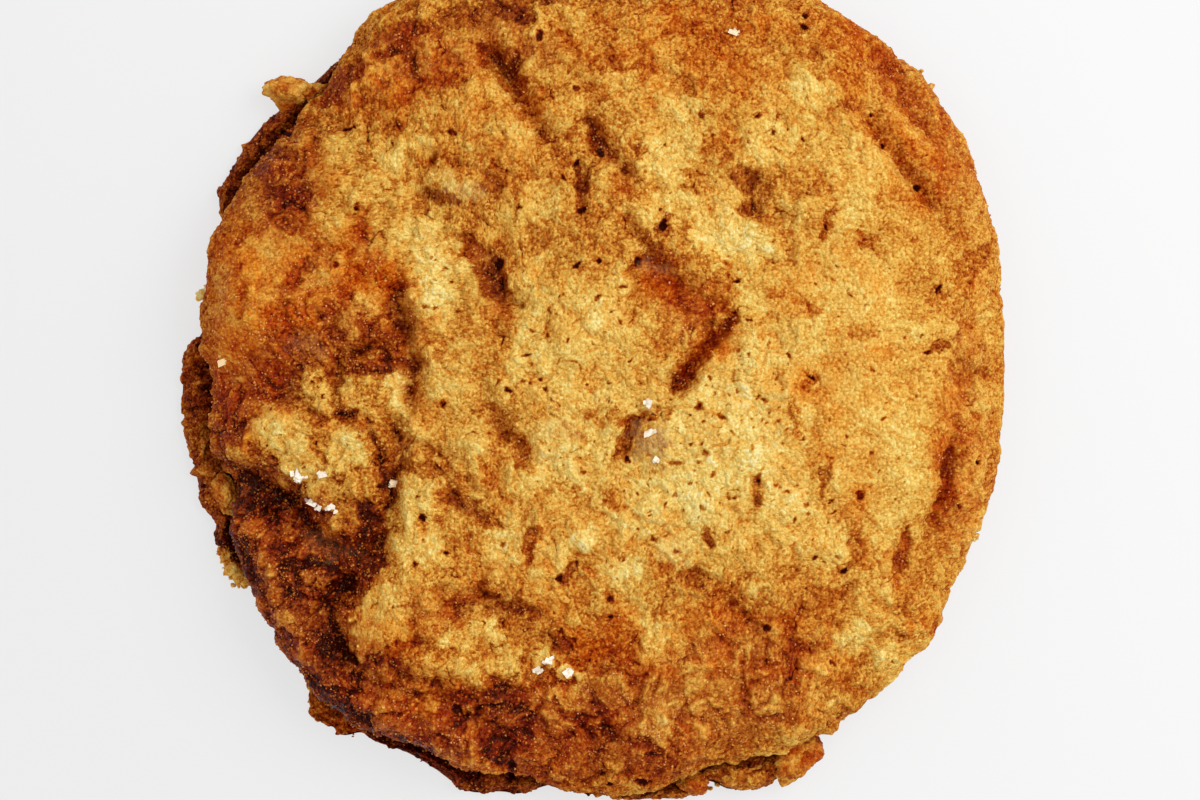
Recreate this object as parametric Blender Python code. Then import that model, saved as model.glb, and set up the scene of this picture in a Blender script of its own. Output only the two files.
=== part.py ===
"""Salted caramel cookie: one hand-dropped cookie, baked on a flat sheet.

A domed and wrinkled crust overhangs a thin foot that spread on the baking sheet. The foot shows
past the crust as a ledge at the left and as lumps at the front, and caramel boiled out of it as a
thin lace. One crumb nub sticks to the foot, and flakes of sea salt lie on the crust. The cookie is
one piece of food, so all of it is one solid.

Sizes and places are in millimetres from the cookie's middle, with X to the right, Y to the back
and Z up from the flat underside. Bearings are degrees from +X, turning towards +Y. The mesh itself
is in metres.
"""

import math

import bmesh
import bpy
import numpy as np
from mathutils import Euler, Matrix, Vector

MM = 0.001

# Driving sizes of the cookie, in millimetres
THICKNESS = 12.3
RIM_HEIGHT = 4.4
DOME_FULLNESS = 3.2
DOME_ROUNDING = 0.5
NECK_HEIGHT = 3.0
BASE_UNDERCUT = 1.8
SIDE_ROUGHNESS = 0.3

# How finely the solid is faceted
CRUST_RINGS = 35
NOISE_LATTICE = 48

# Radius of the crust's edge at each bearing, in millimetres
CRUST_EDGE = {
    0: 41.5, 10: 41.7, 20: 42.7, 30: 43.6, 42: 44.5, 50: 44.3, 58: 43.7, 75: 43.2, 90: 42.8,
    105: 42.5, 117: 42.1, 126: 41.0, 130: 39.6, 133: 38.8, 140: 38.9, 146: 39.5, 150: 39.9,
    160: 39.8, 170: 39.5, 175: 39.2, 177: 38.2, 182: 37.4, 185: 38.1, 190: 38.6, 194: 38.0,
    197: 37.3, 200: 38.0, 202: 39.3, 207: 39.7, 213: 39.9, 221: 40.9, 230: 41.7, 238: 41.9,
    245: 40.8, 254: 41.5, 258.5: 39.9, 263: 41.1, 270: 42.0, 278: 42.4, 283: 41.5, 288: 40.5,
    293: 41.6, 299: 42.3, 310: 42.7, 324: 42.8, 329: 41.7, 338: 41.5, 343: 42.0, 350: 41.6,
}

# How far the foot reaches past the crust's edge at each bearing, in millimetres
FOOT_REACH = {
    0: -1.3, 90: -1.0, 124: -0.6, 127: 0.3, 130: 1.2, 133: 1.8, 137: 2.2, 142: 2.6, 147: 2.3,
    151: 1.9, 153: 2.2, 155: 1.7, 157: 0.7, 159: -0.5, 171: -0.7, 174: 0.4, 176.5: 2.6,
    179: 3.5, 183: 3.7, 187: 3.0, 191: 2.6, 195: 3.4, 198: 3.9, 200.5: 2.8, 201.7: 0.9,
    202.8: 1.9, 205: 1.7, 208: 0.9, 211: 0.3, 220: 0.2, 228: 0.7, 230: 2.4, 232: 2.9,
    233.8: 2.0, 235.4: 3.0, 237: 0.8, 239: 1.4, 243: 1.4, 249: 1.8, 254: 2.3, 260: 2.6,
    263.5: 1.0, 270: 0.5, 278: 1.0, 282: 1.8, 284.5: 2.3, 286.4: 1.6, 288.5: 3.6, 294: 3.5,
    298: 2.3, 300.5: 1.3, 302: -0.2, 305: -0.8, 330: -1.0,
}

# How deep the waist between crust and foot is at each bearing, in millimetres
WAIST_DEPTH = {
    0: 0.4, 90: 0.4, 120: 0.6, 128: 1.0, 150: 1.1, 158: 0.6, 172: 0.7, 178: 1.3, 198: 1.4,
    204: 0.9, 220: 0.7, 231: 0.9, 245: 1.0, 262: 1.1, 272: 0.8, 288: 1.1, 298: 0.9, 305: 0.5,
}

# Height of the foot's upper face at each bearing, in millimetres
FOOT_HEIGHT = {
    0: 2.2, 130: 2.3, 150: 2.6, 170: 2.2, 180: 2.7, 195: 2.5, 203: 2.0, 228: 1.6, 230: 0.9,
    241: 0.9, 247: 1.7, 262: 2.0, 280: 2.2, 286: 3.1, 292: 3.6, 298: 3.4, 304: 2.2,
}

# Folds of the crust: (route, half width, depth), in millimetres
CREASES = {
    "back_fold": ([(-10.6, 32.5), (-8.4, 30.5), (-7.0, 27.7), (-5.9, 25.7), (-4.2, 23.0)], 1.2, 1.5),
    "back_middle": ([(-0.4, 26.3), (0.6, 24.2), (1.1, 22.2), (3.8, 21.3), (4.2, 19.0)], 1.1, 0.9),
    "back_hollow": ([(-1.3, 21.2), (-0.7, 19.1), (-1.1, 16.2)], 1.1, 1.0),
    "left_knob": ([(-15.0, 22.5), (-16.5, 20.2), (-17.5, 18.5), (-14.4, 17.1)], 1.1, 0.8),
    "left_knob_back": ([(-14.4, 21.0), (-11.0, 20.5), (-9.0, 18.0)], 1.1, 0.6),
    "right_notch": ([(14.5, 20.5), (16.2, 19.5), (16.0, 17.5), (16.4, 15.7)], 1.1, 0.9),
    "centre_lead": ([(3.2, 16.0), (4.7, 13.5), (6.0, 11.8)], 1.1, 0.9),
    "centre_fold": ([(5.0, 10.7), (9.3, 9.5), (11.5, 8.5), (14.2, 5.5)], 1.3, 1.4),
    "centre_return": ([(14.3, 5.3), (12.5, 3.0), (11.0, 1.0), (9.5, -0.5), (8.4, -1.8)], 1.3, 1.6),
    "centre_knob": ([(5.0, -4.3), (3.7, -6.0), (4.0, -8.0)], 1.1, 0.9),
    "inner_left": ([(-10.6, 0.3), (-10.3, -3.0), (-8.5, -5.5), (-7.0, -7.0), (-6.5, -8.7)], 1.1, 0.8),
    "inner_back": ([(-10.4, 12.5), (-10.0, 10.0), (-8.8, 7.2), (-5.9, 6.9)], 1.3, 1.2),
    "inner_short": ([(-19.0, -6.2), (-17.0, -7.0), (-13.3, -8.5)], 1.1, 0.9),
    "inner_front": ([(-14.2, -10.3), (-13.5, -12.5), (-11.0, -13.8), (-9.6, -14.7)], 1.1, 0.8),
    "right_front": ([(16.7, -10.0), (16.7, -12.5), (15.8, -14.7)], 1.1, 0.6),
    "long_left": (
        [(-19.0, 11.0), (-19.2, 7.5), (-18.2, 4.0), (-17.8, 0.0), (-18.5, -4.5), (-19.5, -8.5),
         (-20.5, -12.0), (-21.8, -16.5), (-23.8, -19.5)],
        1.6, 1.7,
    ),
    "left_arm": ([(-19.0, 3.0), (-22.0, 2.5), (-24.8, 2.5), (-25.2, -1.0)], 1.1, 1.1),
    "left_arm_low": ([(-27.1, -3.0), (-26.3, -4.3), (-24.5, -3.6), (-22.8, -3.9)], 1.1, 0.9),
    "crevice": (
        [(-37.2, -9.3), (-34.2, -10.3), (-31.8, -10.9), (-29.2, -12.5), (-26.8, -14.7), (-24.5, -17.0)],
        2.3, 2.5,
    ),
    "crevice_floor": ([(-35.5, -12.5), (-33.5, -14.0), (-31.0, -15.0), (-28.5, -15.5)], 1.7, 1.6),
    "front_crevice": (
        [(-23.8, -19.5), (-25.2, -21.5), (-26.4, -23.5), (-25.7, -26.3), (-24.4, -28.5), (-23.0, -30.0)],
        1.6, 2.0,
    ),
    "front_rim": (
        [(-23.0, -30.0), (-19.0, -31.3), (-15.0, -32.5), (-12.0, -34.0), (-9.0, -36.5), (-7.8, -39.5)],
        1.4, 1.0,
    ),
    "front_double_a": ([(-15.8, -21.2), (-12.5, -21.5), (-9.0, -21.7)], 1.1, 0.8),
    "front_double_b": ([(-16.0, -23.3), (-12.0, -23.3), (-7.5, -23.1)], 1.1, 0.9),
    "front_pale_edge": ([(-19.5, -29.3), (-17.0, -30.3), (-14.4, -30.8)], 1.1, 0.8),
    "front_hollow": ([(-3.0, -36.0), (0.0, -36.3), (2.7, -35.7)], 1.4, 0.7),
    "right_low_a": ([(9.3, -20.1), (11.0, -19.7), (13.0, -20.5)], 1.1, 0.7),
    "right_low_b": ([(14.5, -23.5), (16.5, -24.7), (18.5, -25.3)], 1.1, 0.8),
    "rim_groove_back": (
        [(27.2, 27.1), (28.6, 24.5), (30.0, 22.3), (31.5, 20.3), (33.2, 18.5), (34.8, 16.5)], 1.1, 1.2,
    ),
    "rim_groove_outer": ([(26.5, 33.5), (29.5, 31.1), (31.3, 28.5), (32.8, 25.7), (34.5, 23.0)], 1.7, 0.7),
    "rim_groove_right": (
        [(35.5, 1.5), (35.6, -4.5), (36.0, -8.5), (35.8, -11.5), (34.8, -15.5)], 1.2, 1.1,
    ),
}

# Swellings of the crust: (x, y, half length, half width, turn in degrees, height)
SWELLS = {
    "left_shoulder": (-33.5, 8.5, 9.0, 5.0, 95, 1.2),
    "left_island": (-30.0, -6.3, 6.0, 4.2, -10, 1.3),
    "small_island": (-27.2, -1.5, 2.8, 2.0, -60, 0.9),
    "middle_island": (-21.8, -1.8, 3.0, 2.5, 10, 0.8),
    "lower_island": (-23.3, -8.0, 4.0, 3.2, 60, 0.9),
    "golden_lump": (-20.3, -24.0, 5.5, 4.0, 70, 1.1),
    "front_pale": (-15.5, -27.8, 4.6, 2.8, -10, 0.8),
    "rim_lump_left": (-30.8, -21.5, 4.5, 3.0, 110, 0.9),
    "rim_lump_front": (-27.8, -28.0, 4.0, 2.6, 130, 0.8),
    "rim_lump_corner": (-22.0, -33.3, 4.5, 2.2, 155, 0.7),
    "knob": (-12.8, 18.6, 2.1, 1.7, 20, 0.9),
    "centre_plateau": (-2.0, 2.5, 9.0, 7.0, 30, 0.8),
    "centre_knob": (6.0, -6.3, 1.8, 1.6, 0, 0.8),
    "right_plateau": (13.0, -9.0, 9.0, 6.5, 35, 0.7),
    "back_plateau": (-2.5, 30.5, 6.0, 4.5, -20, 0.6),
    "back_left_lump": (-11.5, 25.5, 5.0, 3.6, -40, 0.7),
    "left_dome": (-24.0, 17.5, 7.0, 5.5, 60, 0.9),
    "back_right_swell": (12.0, 25.0, 9.0, 6.0, -30, 0.6),
    "right_swell": (27.0, 5.0, 11.0, 5.5, 80, 0.6),
    "front_swell": (6.0, -29.0, 10.0, 5.0, 10, 0.5),
    "front_hump": (-14.0, -36.5, 3.6, 2.0, -15, 0.7),
}

# Wavy relief of the crust and the foot: (size of a wave, height), in millimetres
WAVES = ((15.0, 0.6), (8.0, 0.5), (4.4, 0.4), (2.3, 0.25))
SIDE_WAVE = 2.3

# Flakes of sea salt: (x, y, length, width, thickness, turn in degrees)
SALT = (
    (-28.8, -10.0, 1.7, 1.1, 0.7, 60), (-26.4, -9.9, 1.0, 0.8, 0.6, 20),
    (-27.6, -12.7, 1.3, 0.9, 0.6, -30), (-25.7, -13.1, 1.1, 0.7, 0.5, 40),
    (-19.4, -10.8, 1.1, 0.8, 0.6, 10), (5.8, -2.8, 1.0, 0.8, 0.7, 85),
    (5.9, -5.8, 1.1, 0.8, 0.6, 30), (6.6, -8.3, 1.0, 0.7, 0.5, -40),
    (-4.1, -28.3, 1.1, 0.8, 0.6, -10), (-5.3, -29.2, 1.2, 0.7, 0.5, 25),
    (-2.2, -29.5, 1.1, 1.0, 0.7, 40), (14.2, 34.0, 1.5, 0.6, 0.6, -25),
    (-36.7, 1.2, 1.0, 0.9, 0.8, 15),
)

# Lumps of crumb stuck to the foot: (x, y, z of the middle, three half sizes, turn in degrees)
CRUMB_LUMPS = (
    (-30.4, 28.3, 2.1, 2.2, 1.6, 1.5, -12), (-27.6, 28.3, 2.3, 1.2, 1.0, 1.0, 30),
    (-36.5, -12.1, 2.6, 1.2, 1.9, 1.4, 20), (20.3, -38.6, 2.4, 2.6, 1.7, 1.8, 40),
    (15.6, -40.4, 2.0, 2.6, 1.3, 1.5, 8), (10.2, -41.0, 1.9, 1.6, 1.2, 1.4, -15),
)

# The look of the baked crust: linear colour and roughness
CRUST_COLOUR = (0.46, 0.20, 0.045, 1.0)
CRUST_ROUGHNESS = 0.62


def around(table, bearings, smoothing=1.6):
    """Value of a {bearing: value} table at each bearing, rounded off over some degrees.

    The straight-line reading of the table is averaged over its neighbours with a bell-shaped weight.
    """
    steps = np.linspace(-3.0, 3.0, 13)
    weights = np.exp(-0.5 * steps**2)
    places = sorted(table)
    values = [table[place] for place in places]
    total = np.zeros(np.shape(bearings))
    for step, weight in zip(steps, weights):
        total = total + weight * np.interp(bearings + step * smoothing, places, values, period=360)
    return total / weights.sum()


def lattice_noise(points, size, seed):
    """Smooth noise from -1 to 1: random values on a cubic lattice, blended between its corners."""
    lattice = np.random.default_rng(seed).uniform(-1.0, 1.0, (NOISE_LATTICE,) * 3)
    scaled = np.asarray(points) / size + 1000.0
    cell = np.floor(scaled).astype(int)
    part = scaled - cell
    part = part * part * (3.0 - 2.0 * part)
    total = np.zeros(len(scaled))
    for corner in np.ndindex(2, 2, 2):
        index = (cell + corner) % NOISE_LATTICE
        share = np.prod(np.where(np.array(corner) == 1, part, 1.0 - part), axis=1)
        total += share * lattice[index[:, 0], index[:, 1], index[:, 2]]
    return total


def distance_to_route(x, y, route):
    """Distance of each point from a route of straight runs, and how far along it, from 0 to 1."""
    corners = np.array(route)
    runs = np.linalg.norm(np.diff(corners, axis=0), axis=1)
    walked = np.concatenate([[0.0], np.cumsum(runs)])
    nearest = np.full(x.shape, np.inf)
    along = np.zeros(x.shape)
    for start, end, run, before in zip(corners[:-1], corners[1:], runs, walked):
        step = (end - start) / run
        place = np.clip((x - start[0]) * step[0] + (y - start[1]) * step[1], 0.0, run)
        gap = np.hypot(x - start[0] - place * step[0], y - start[1] - place * step[1])
        closer = gap < nearest
        nearest = np.where(closer, gap, nearest)
        along = np.where(closer, (before + place) / walked[-1], along)
    return nearest, along


def folds(x, y):
    """Depth of the crust's creases: each a bell-shaped trough that runs out at its two ends."""
    wander = lattice_noise(np.column_stack([x, y, 0 * x]), 3.0, seed=5)
    deepest = np.zeros(x.shape)
    for route, half_width, depth in CREASES.values():
        gap, along = distance_to_route(x, y, route)
        run_out = np.clip(np.minimum(along, 1.0 - along) * 6.0 + 0.35, 0.0, 1.0)
        width = half_width * (1.0 + 0.3 * wander)
        trough = depth * run_out * np.exp(-((gap / width) ** 2))
        deepest = np.maximum(deepest, trough) + 0.25 * np.minimum(deepest, trough)
    return deepest


def swellings(x, y):
    """Height of the crust's swellings: each a bell over an oval patch."""
    total = np.zeros(x.shape)
    for cx, cy, half_length, half_width, turn, height in SWELLS.values():
        c, s = math.cos(math.radians(turn)), math.sin(math.radians(turn))
        along = ((x - cx) * c + (y - cy) * s) / half_length
        across = ((y - cy) * c - (x - cx) * s) / half_width
        total += height * np.exp(-(along**2 + across**2))
    return total


def waves(points):
    """Wavy relief: smooth noise of several sizes, the finest still coarse enough for these facets."""
    total = np.zeros(len(points))
    for number, (size, height) in enumerate(WAVES):
        total += height * lattice_noise(points, size, seed=20 + number)
    return total


def dome_profile():
    """Profile of the crust from its middle to its edge: shares of the edge's radius, and heights."""
    share = np.sin(np.linspace(0.0, math.pi / 2, 400)) ** 0.8
    rise = THICKNESS - RIM_HEIGHT
    height = RIM_HEIGHT + rise * (1.0 - share**DOME_FULLNESS) ** DOME_ROUNDING
    return share, height


def dome_slope(share, height, edge):
    """Outward normal of the dome profile, as its radial part and its upward part."""
    run = np.gradient(share * edge)
    fall = -np.gradient(height)
    length = np.hypot(run, fall)
    return fall / length, run / length


def ring_places(rings):
    """Places along the dome profile that space the rings evenly over the crust, as profile shares."""
    share, height = dome_profile()
    mean_edge = np.mean(list(CRUST_EDGE.values()))
    walked = np.cumsum(np.hypot(np.gradient(share * mean_edge), np.gradient(height)))
    walked = (walked - walked[0]) / (walked[-1] - walked[0])
    return np.interp(np.linspace(0.0, 1.0, rings + 1), walked, np.arange(len(share)))


def crust_points(place, bearings):
    """Points of the crust at a place on the profile, one for each bearing, relief included."""
    share, height = dome_profile()
    edge = around(CRUST_EDGE, bearings)
    outward, upward = dome_slope(share, height, np.mean(edge))
    rank = np.arange(len(share))
    radius = np.interp(place, rank, share) * edge
    base = np.interp(place, rank, height)
    out_part = np.interp(place, rank, outward)
    up_part = np.interp(place, rank, upward)
    angle = np.radians(bearings)
    x, y = radius * np.cos(angle), radius * np.sin(angle)
    flat = np.column_stack([x, y, np.full(x.shape, base)])
    lift = swellings(x, y) - folds(x, y) + waves(flat)
    lift = lift * (0.35 + 0.65 * up_part)
    radius = radius + lift * out_part
    return np.column_stack([radius * np.cos(angle), radius * np.sin(angle), base + lift * up_part])


def side_rings(bearings):
    """Rings below the crust's edge: the waist, the foot's gutter, upper face and edge.

    Where the foot stays inside the crust's edge, the side rolls in under it as a quarter of an oval.
    """
    edge = around(CRUST_EDGE, bearings)
    reach = around(FOOT_REACH, bearings, smoothing=0.7)
    ledge = around(FOOT_HEIGHT, bearings)
    foot = edge + reach
    waist = np.minimum(edge, foot) - around(WAIST_DEPTH, bearings)
    width = foot - waist
    shows = np.clip((reach + 0.9) / 1.8, 0.0, 1.0)
    profile = (
        (edge - 0.3 * (edge - waist), 0.5 * (RIM_HEIGHT + NECK_HEIGHT) + 0 * ledge, 0.6),
        (waist, np.maximum(NECK_HEIGHT, 0.8 * ledge), 0.2),
        (waist + 0.22 * width, 0.68 * ledge, 0.3),
        (waist + 0.58 * width, 0.98 * ledge, 1.0),
        (foot - 0.16 * width, 0.88 * ledge, 1.0),
        (foot, 0.42 * ledge, 1.0),
        (foot - 0.3, 0.0 * ledge, 0.0),
    )
    angle = np.radians(bearings)
    rings = []
    for number, (footed, height, rough) in enumerate(profile):
        rolled_height = 0.85 * RIM_HEIGHT * (1.0 - number / (len(profile) - 1))
        drop = 1.0 - rolled_height / RIM_HEIGHT
        rolled = edge - BASE_UNDERCUT * (1.0 - math.sqrt(1.0 - 0.97 * drop**2))
        radius = rolled + shows * (footed - rolled)
        height = rolled_height + shows * (height - rolled_height)
        flat = np.column_stack([radius * np.cos(angle), radius * np.sin(angle), height])
        bumps = rough * SIDE_ROUGHNESS * lattice_noise(flat, SIDE_WAVE, seed=31)
        radius = radius + bumps
        height = np.maximum(height + bumps * (height > 0), 0.0)
        rings.append(np.column_stack([radius * np.cos(angle), radius * np.sin(angle), height]))
    return rings


def cookie_rings():
    """All rings of points, from the crust's middle to the edge of the flat underside."""
    rings = []
    for number, place in enumerate(ring_places(CRUST_RINGS)):
        count = max(1, 6 * number)
        rings.append(crust_points(place, np.arange(count) * 360.0 / count))
    last = 6 * CRUST_RINGS
    rings.extend(side_rings(np.arange(last) * 360.0 / last))
    return rings


def growing_band(inner, outer):
    """Triangles between a ring of 6k points and the next of 6(k + 1), in six equal sectors."""
    faces = []
    inner_side, outer_side = max(len(inner) // 6, 0), len(outer) // 6
    for sector in range(6):
        for step in range(outer_side):
            far = outer[sector * outer_side + step]
            far_next = outer[(sector * outer_side + step + 1) % len(outer)]
            near = inner[(sector * inner_side + step) % len(inner)]
            faces.append((near, far, far_next))
            if step < inner_side:
                near_next = inner[(sector * inner_side + step + 1) % len(inner)]
                faces.append((near, far_next, near_next))
    return faces


def straight_band(upper, lower):
    """Triangles between two rings of the same count."""
    faces = []
    for step in range(len(upper)):
        after = (step + 1) % len(upper)
        faces.append((upper[step], lower[step], lower[after]))
        faces.append((upper[step], lower[after], upper[after]))
    return faces


def cookie_mesh():
    """The cookie's body as a closed mesh in metres, with one flat face as its underside."""
    rings = cookie_rings()
    starts = np.cumsum([0] + [len(ring) for ring in rings])
    names = [list(range(start, start + len(ring))) for start, ring in zip(starts, rings)]
    faces = []
    for near, far in zip(names, names[1:]):
        band = growing_band if len(near) != len(far) else straight_band
        faces.extend(band(near, far))
    faces.append(tuple(reversed(names[-1])))
    mesh = bpy.data.meshes.new("cookie")
    mesh.from_pydata((np.vstack(rings) * MM).tolist(), [], faces)
    mesh.validate()
    return mesh


def crust_height(x, y):
    """Height of the finished crust at a place, for what is set on it."""
    share, height = dome_profile()
    bearing = np.array([math.degrees(math.atan2(y, x))])
    radius_share = math.hypot(x, y) / around(CRUST_EDGE, bearing)[0]
    place = np.interp(radius_share, share, np.arange(len(share)))
    return crust_points(place, bearing)[0, 2]


def salt_flakes(collection):
    """Each flake is a small block, tilted a little and sunk by a third into the crust."""
    rng = np.random.default_rng(7)
    for number, (x, y, length, width, thickness, turn) in enumerate(SALT):
        mesh = bpy.data.meshes.new(f"salt_{number}")
        bm = bmesh.new()
        bmesh.ops.create_cube(bm, size=1.0)
        for vertex in bm.verts:
            vertex.co *= 1.0 + rng.uniform(-0.18, 0.10)
        bm.to_mesh(mesh)
        bm.free()
        tilt = Euler((rng.uniform(-0.35, 0.35), rng.uniform(-0.35, 0.35), math.radians(turn)))
        place = Vector((x, y, crust_height(x, y) + 0.17 * thickness)) * MM
        sizes = Matrix.Diagonal(Vector((length, width, thickness, 1.0)) * MM)
        sizes[3][3] = 1.0
        mesh.transform(Matrix.Translation(place) @ tilt.to_matrix().to_4x4() @ sizes)
        collection.objects.link(bpy.data.objects.new(mesh.name, mesh))


def crumb_lumps(collection):
    """Each lump is a small uneven ball of crumb, pressed into the foot."""
    for number, (x, y, z, *half_sizes, turn) in enumerate(CRUMB_LUMPS):
        mesh = bpy.data.meshes.new(f"lump_{number}")
        bm = bmesh.new()
        bmesh.ops.create_icosphere(bm, subdivisions=2, radius=1.0)
        points = np.array([vertex.co for vertex in bm.verts])
        swell = 1.0 + 0.2 * lattice_noise(points, 0.8, seed=41 + number)
        for vertex, factor in zip(bm.verts, swell):
            vertex.co *= factor
        bm.to_mesh(mesh)
        bm.free()
        turned = Matrix.Rotation(math.radians(turn), 4, "Z") @ Matrix.Diagonal((*half_sizes, 1.0))
        mesh.transform(Matrix.Scale(MM, 4) @ Matrix.Translation((x, y, z)) @ turned)
        collection.objects.link(bpy.data.objects.new(mesh.name, mesh))


def join_with(body, collection):
    """Unites the body with everything in the collection, then removes the collection's objects."""
    joint = body.modifiers.new("toppings", "BOOLEAN")
    joint.operation = "UNION"
    joint.operand_type = "COLLECTION"
    joint.collection = collection
    joint.solver = "EXACT"
    bpy.context.view_layer.update()
    graph = bpy.context.evaluated_depsgraph_get()
    joined = bpy.data.meshes.new_from_object(body.evaluated_get(graph), depsgraph=graph)
    body.modifiers.clear()
    body.data = joined
    joined.name = body.name
    for topping in list(collection.objects):
        bpy.data.objects.remove(topping)
    bpy.data.collections.remove(collection)


def centre_on_origin(body):
    """Moves the mesh so that the middle of its box stands over the origin, on z = 0."""
    points = np.array([vertex.co for vertex in body.data.vertices])
    middle = (points.min(0) + points.max(0)) / 2
    body.data.transform(Matrix.Translation((-middle[0], -middle[1], -points[:, 2].min())))


def crust_material():
    """Baked golden-brown crust, matt to satin."""
    material = bpy.data.materials.new("baked_crust")
    material.use_nodes = True
    shader = material.node_tree.nodes["Principled BSDF"]
    shader.inputs["Base Color"].default_value = CRUST_COLOUR
    shader.inputs["Roughness"].default_value = CRUST_ROUGHNESS
    shader.inputs["Metallic"].default_value = 0.0
    material.diffuse_color = CRUST_COLOUR
    return material


def main():
    for old in list(bpy.data.objects):
        bpy.data.objects.remove(old)
    cookie = bpy.data.objects.new("cookie", cookie_mesh())
    bpy.context.scene.collection.objects.link(cookie)
    toppings = bpy.data.collections.new("toppings")
    bpy.context.scene.collection.children.link(toppings)
    salt_flakes(toppings)
    crumb_lumps(toppings)
    join_with(cookie, toppings)
    centre_on_origin(cookie)
    cookie.data.materials.clear()
    cookie.data.materials.append(crust_material())


main()
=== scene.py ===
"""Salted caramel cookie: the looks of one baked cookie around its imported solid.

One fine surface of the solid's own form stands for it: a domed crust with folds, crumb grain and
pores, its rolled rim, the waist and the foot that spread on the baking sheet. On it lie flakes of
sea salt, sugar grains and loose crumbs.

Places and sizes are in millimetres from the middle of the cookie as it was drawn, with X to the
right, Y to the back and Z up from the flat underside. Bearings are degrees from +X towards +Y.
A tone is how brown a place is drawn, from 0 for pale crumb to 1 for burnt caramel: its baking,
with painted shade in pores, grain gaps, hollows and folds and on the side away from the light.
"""

import logging
import math
from dataclasses import dataclass
from enum import Enum

import bmesh
import bpy
import numpy as np
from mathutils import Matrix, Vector


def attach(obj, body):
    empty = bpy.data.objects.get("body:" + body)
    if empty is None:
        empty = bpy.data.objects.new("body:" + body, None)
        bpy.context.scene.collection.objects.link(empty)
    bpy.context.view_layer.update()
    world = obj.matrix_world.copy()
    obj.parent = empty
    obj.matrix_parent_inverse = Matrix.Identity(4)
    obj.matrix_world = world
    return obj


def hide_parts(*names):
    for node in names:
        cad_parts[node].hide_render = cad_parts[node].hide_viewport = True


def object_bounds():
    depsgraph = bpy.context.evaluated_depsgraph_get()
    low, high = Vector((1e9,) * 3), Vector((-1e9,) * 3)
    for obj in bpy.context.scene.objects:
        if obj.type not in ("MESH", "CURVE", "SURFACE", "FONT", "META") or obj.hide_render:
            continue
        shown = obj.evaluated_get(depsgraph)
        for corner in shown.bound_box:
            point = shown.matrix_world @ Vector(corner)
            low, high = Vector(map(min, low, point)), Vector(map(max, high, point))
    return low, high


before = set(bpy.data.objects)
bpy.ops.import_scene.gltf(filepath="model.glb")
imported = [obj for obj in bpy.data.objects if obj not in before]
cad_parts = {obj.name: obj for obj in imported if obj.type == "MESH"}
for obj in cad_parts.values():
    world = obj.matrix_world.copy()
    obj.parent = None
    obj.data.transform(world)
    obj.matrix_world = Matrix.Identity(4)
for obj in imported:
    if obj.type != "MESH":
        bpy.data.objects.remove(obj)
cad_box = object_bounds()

logging.basicConfig(level=logging.INFO, format="%(message)s")
log = logging.getLogger("cookie")

Array = np.ndarray
Finish = bpy.types.Material
Piece = bpy.types.Object
Point = tuple[float, float, float]
Layers = tuple[tuple[float, float, int, int], ...]
Stops = tuple[tuple[float, "Colour"], ...]

MM = 0.001
BODY = "root"
NODE = "cookie"

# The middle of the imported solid, in the millimetres that the cookie was drawn in
DRAWN_MIDDLE = (0.0915, -0.0399)

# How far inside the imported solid's box the outermost points start to be drawn in, in millimetres
BOX_MARGIN = 0.4

# Cells of a noise sheet before it repeats, and the cell that the sheet's middle falls on
SHEET_CELLS = 256
SHEET_START = 700.0

# Radius of the crust's edge at each bearing
CRUST_EDGE = {
    0: 41.5, 10: 41.7, 20: 42.7, 30: 43.6, 42: 44.5, 50: 44.3, 58: 43.7, 75: 43.2, 90: 42.8, 105: 42.5,
    117: 42.1, 126: 41.0, 130: 39.6, 133: 38.8, 140: 38.9, 146: 39.5, 150: 39.9, 160: 39.8, 170: 39.5,
    175: 39.2, 177: 38.2, 182: 37.4, 185: 38.1, 190: 38.6, 194: 38.0, 197: 37.3, 200: 38.0, 202: 39.3,
    207: 39.7, 213: 39.9, 221: 40.9, 230: 41.7, 238: 41.9, 245: 40.8, 254: 41.5, 258.5: 39.9, 263: 41.1,
    270: 42.0, 278: 42.4, 283: 41.5, 288: 40.5, 293: 41.6, 299: 42.3, 310: 42.7, 324: 42.8, 329: 41.7,
    338: 41.5, 343: 42.0, 350: 41.6,
}

# How far the foot reaches past the crust's edge at each bearing
FOOT_REACH = {
    0: -1.3, 90: -1.0, 124: -0.6, 127: 0.3, 130: 1.2, 133: 1.8, 137: 2.2, 142: 2.6, 147: 2.3, 151: 1.9,
    153: 2.2, 155: 1.7, 157: 0.7, 159: -0.5, 171: -0.7, 174: 0.4, 176.5: 2.6, 179: 3.5, 183: 3.7, 187: 3.0,
    191: 2.6, 195: 3.4, 198: 3.9, 200.5: 2.8, 201.7: 0.9, 202.8: 1.9, 205: 1.7, 208: 0.9, 211: 0.3, 220: 0.2,
    228: 0.7, 230: 2.4, 232: 2.9, 233.8: 2.0, 235.4: 3.0, 237: 0.8, 239: 1.4, 243: 1.4, 249: 1.8, 254: 2.7,
    260: 2.8, 262: 1.6, 263.5: 0.7, 270: 0.5, 278: 1.0, 282: 1.8, 284.5: 2.3, 286.4: 1.6, 288.5: 3.6,
    294: 3.5, 298: 2.3, 300.5: 1.3, 302: -0.2, 305: -0.8, 330: -1.0,
}

# How deep the waist between crust and foot is at each bearing
WAIST_DEPTH = {
    0: 0.4, 90: 0.4, 120: 0.6, 128: 1.0, 150: 1.1, 158: 0.6, 172: 0.7, 178: 1.3, 198: 1.4, 204: 0.9,
    220: 0.7, 231: 0.9, 245: 1.0, 262: 1.1, 272: 0.8, 288: 1.1, 298: 0.9, 305: 0.5,
}

# Height of the foot's upper face at each bearing
FOOT_HEIGHT = {
    0: 2.2, 130: 2.3, 150: 2.6, 170: 2.2, 180: 2.7, 195: 2.5, 203: 2.0, 228: 1.6, 230: 0.9, 241: 0.9,
    247: 1.7, 262: 2.0, 280: 2.2, 286: 3.1, 292: 3.6, 298: 3.4, 304: 2.2,
}
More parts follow.
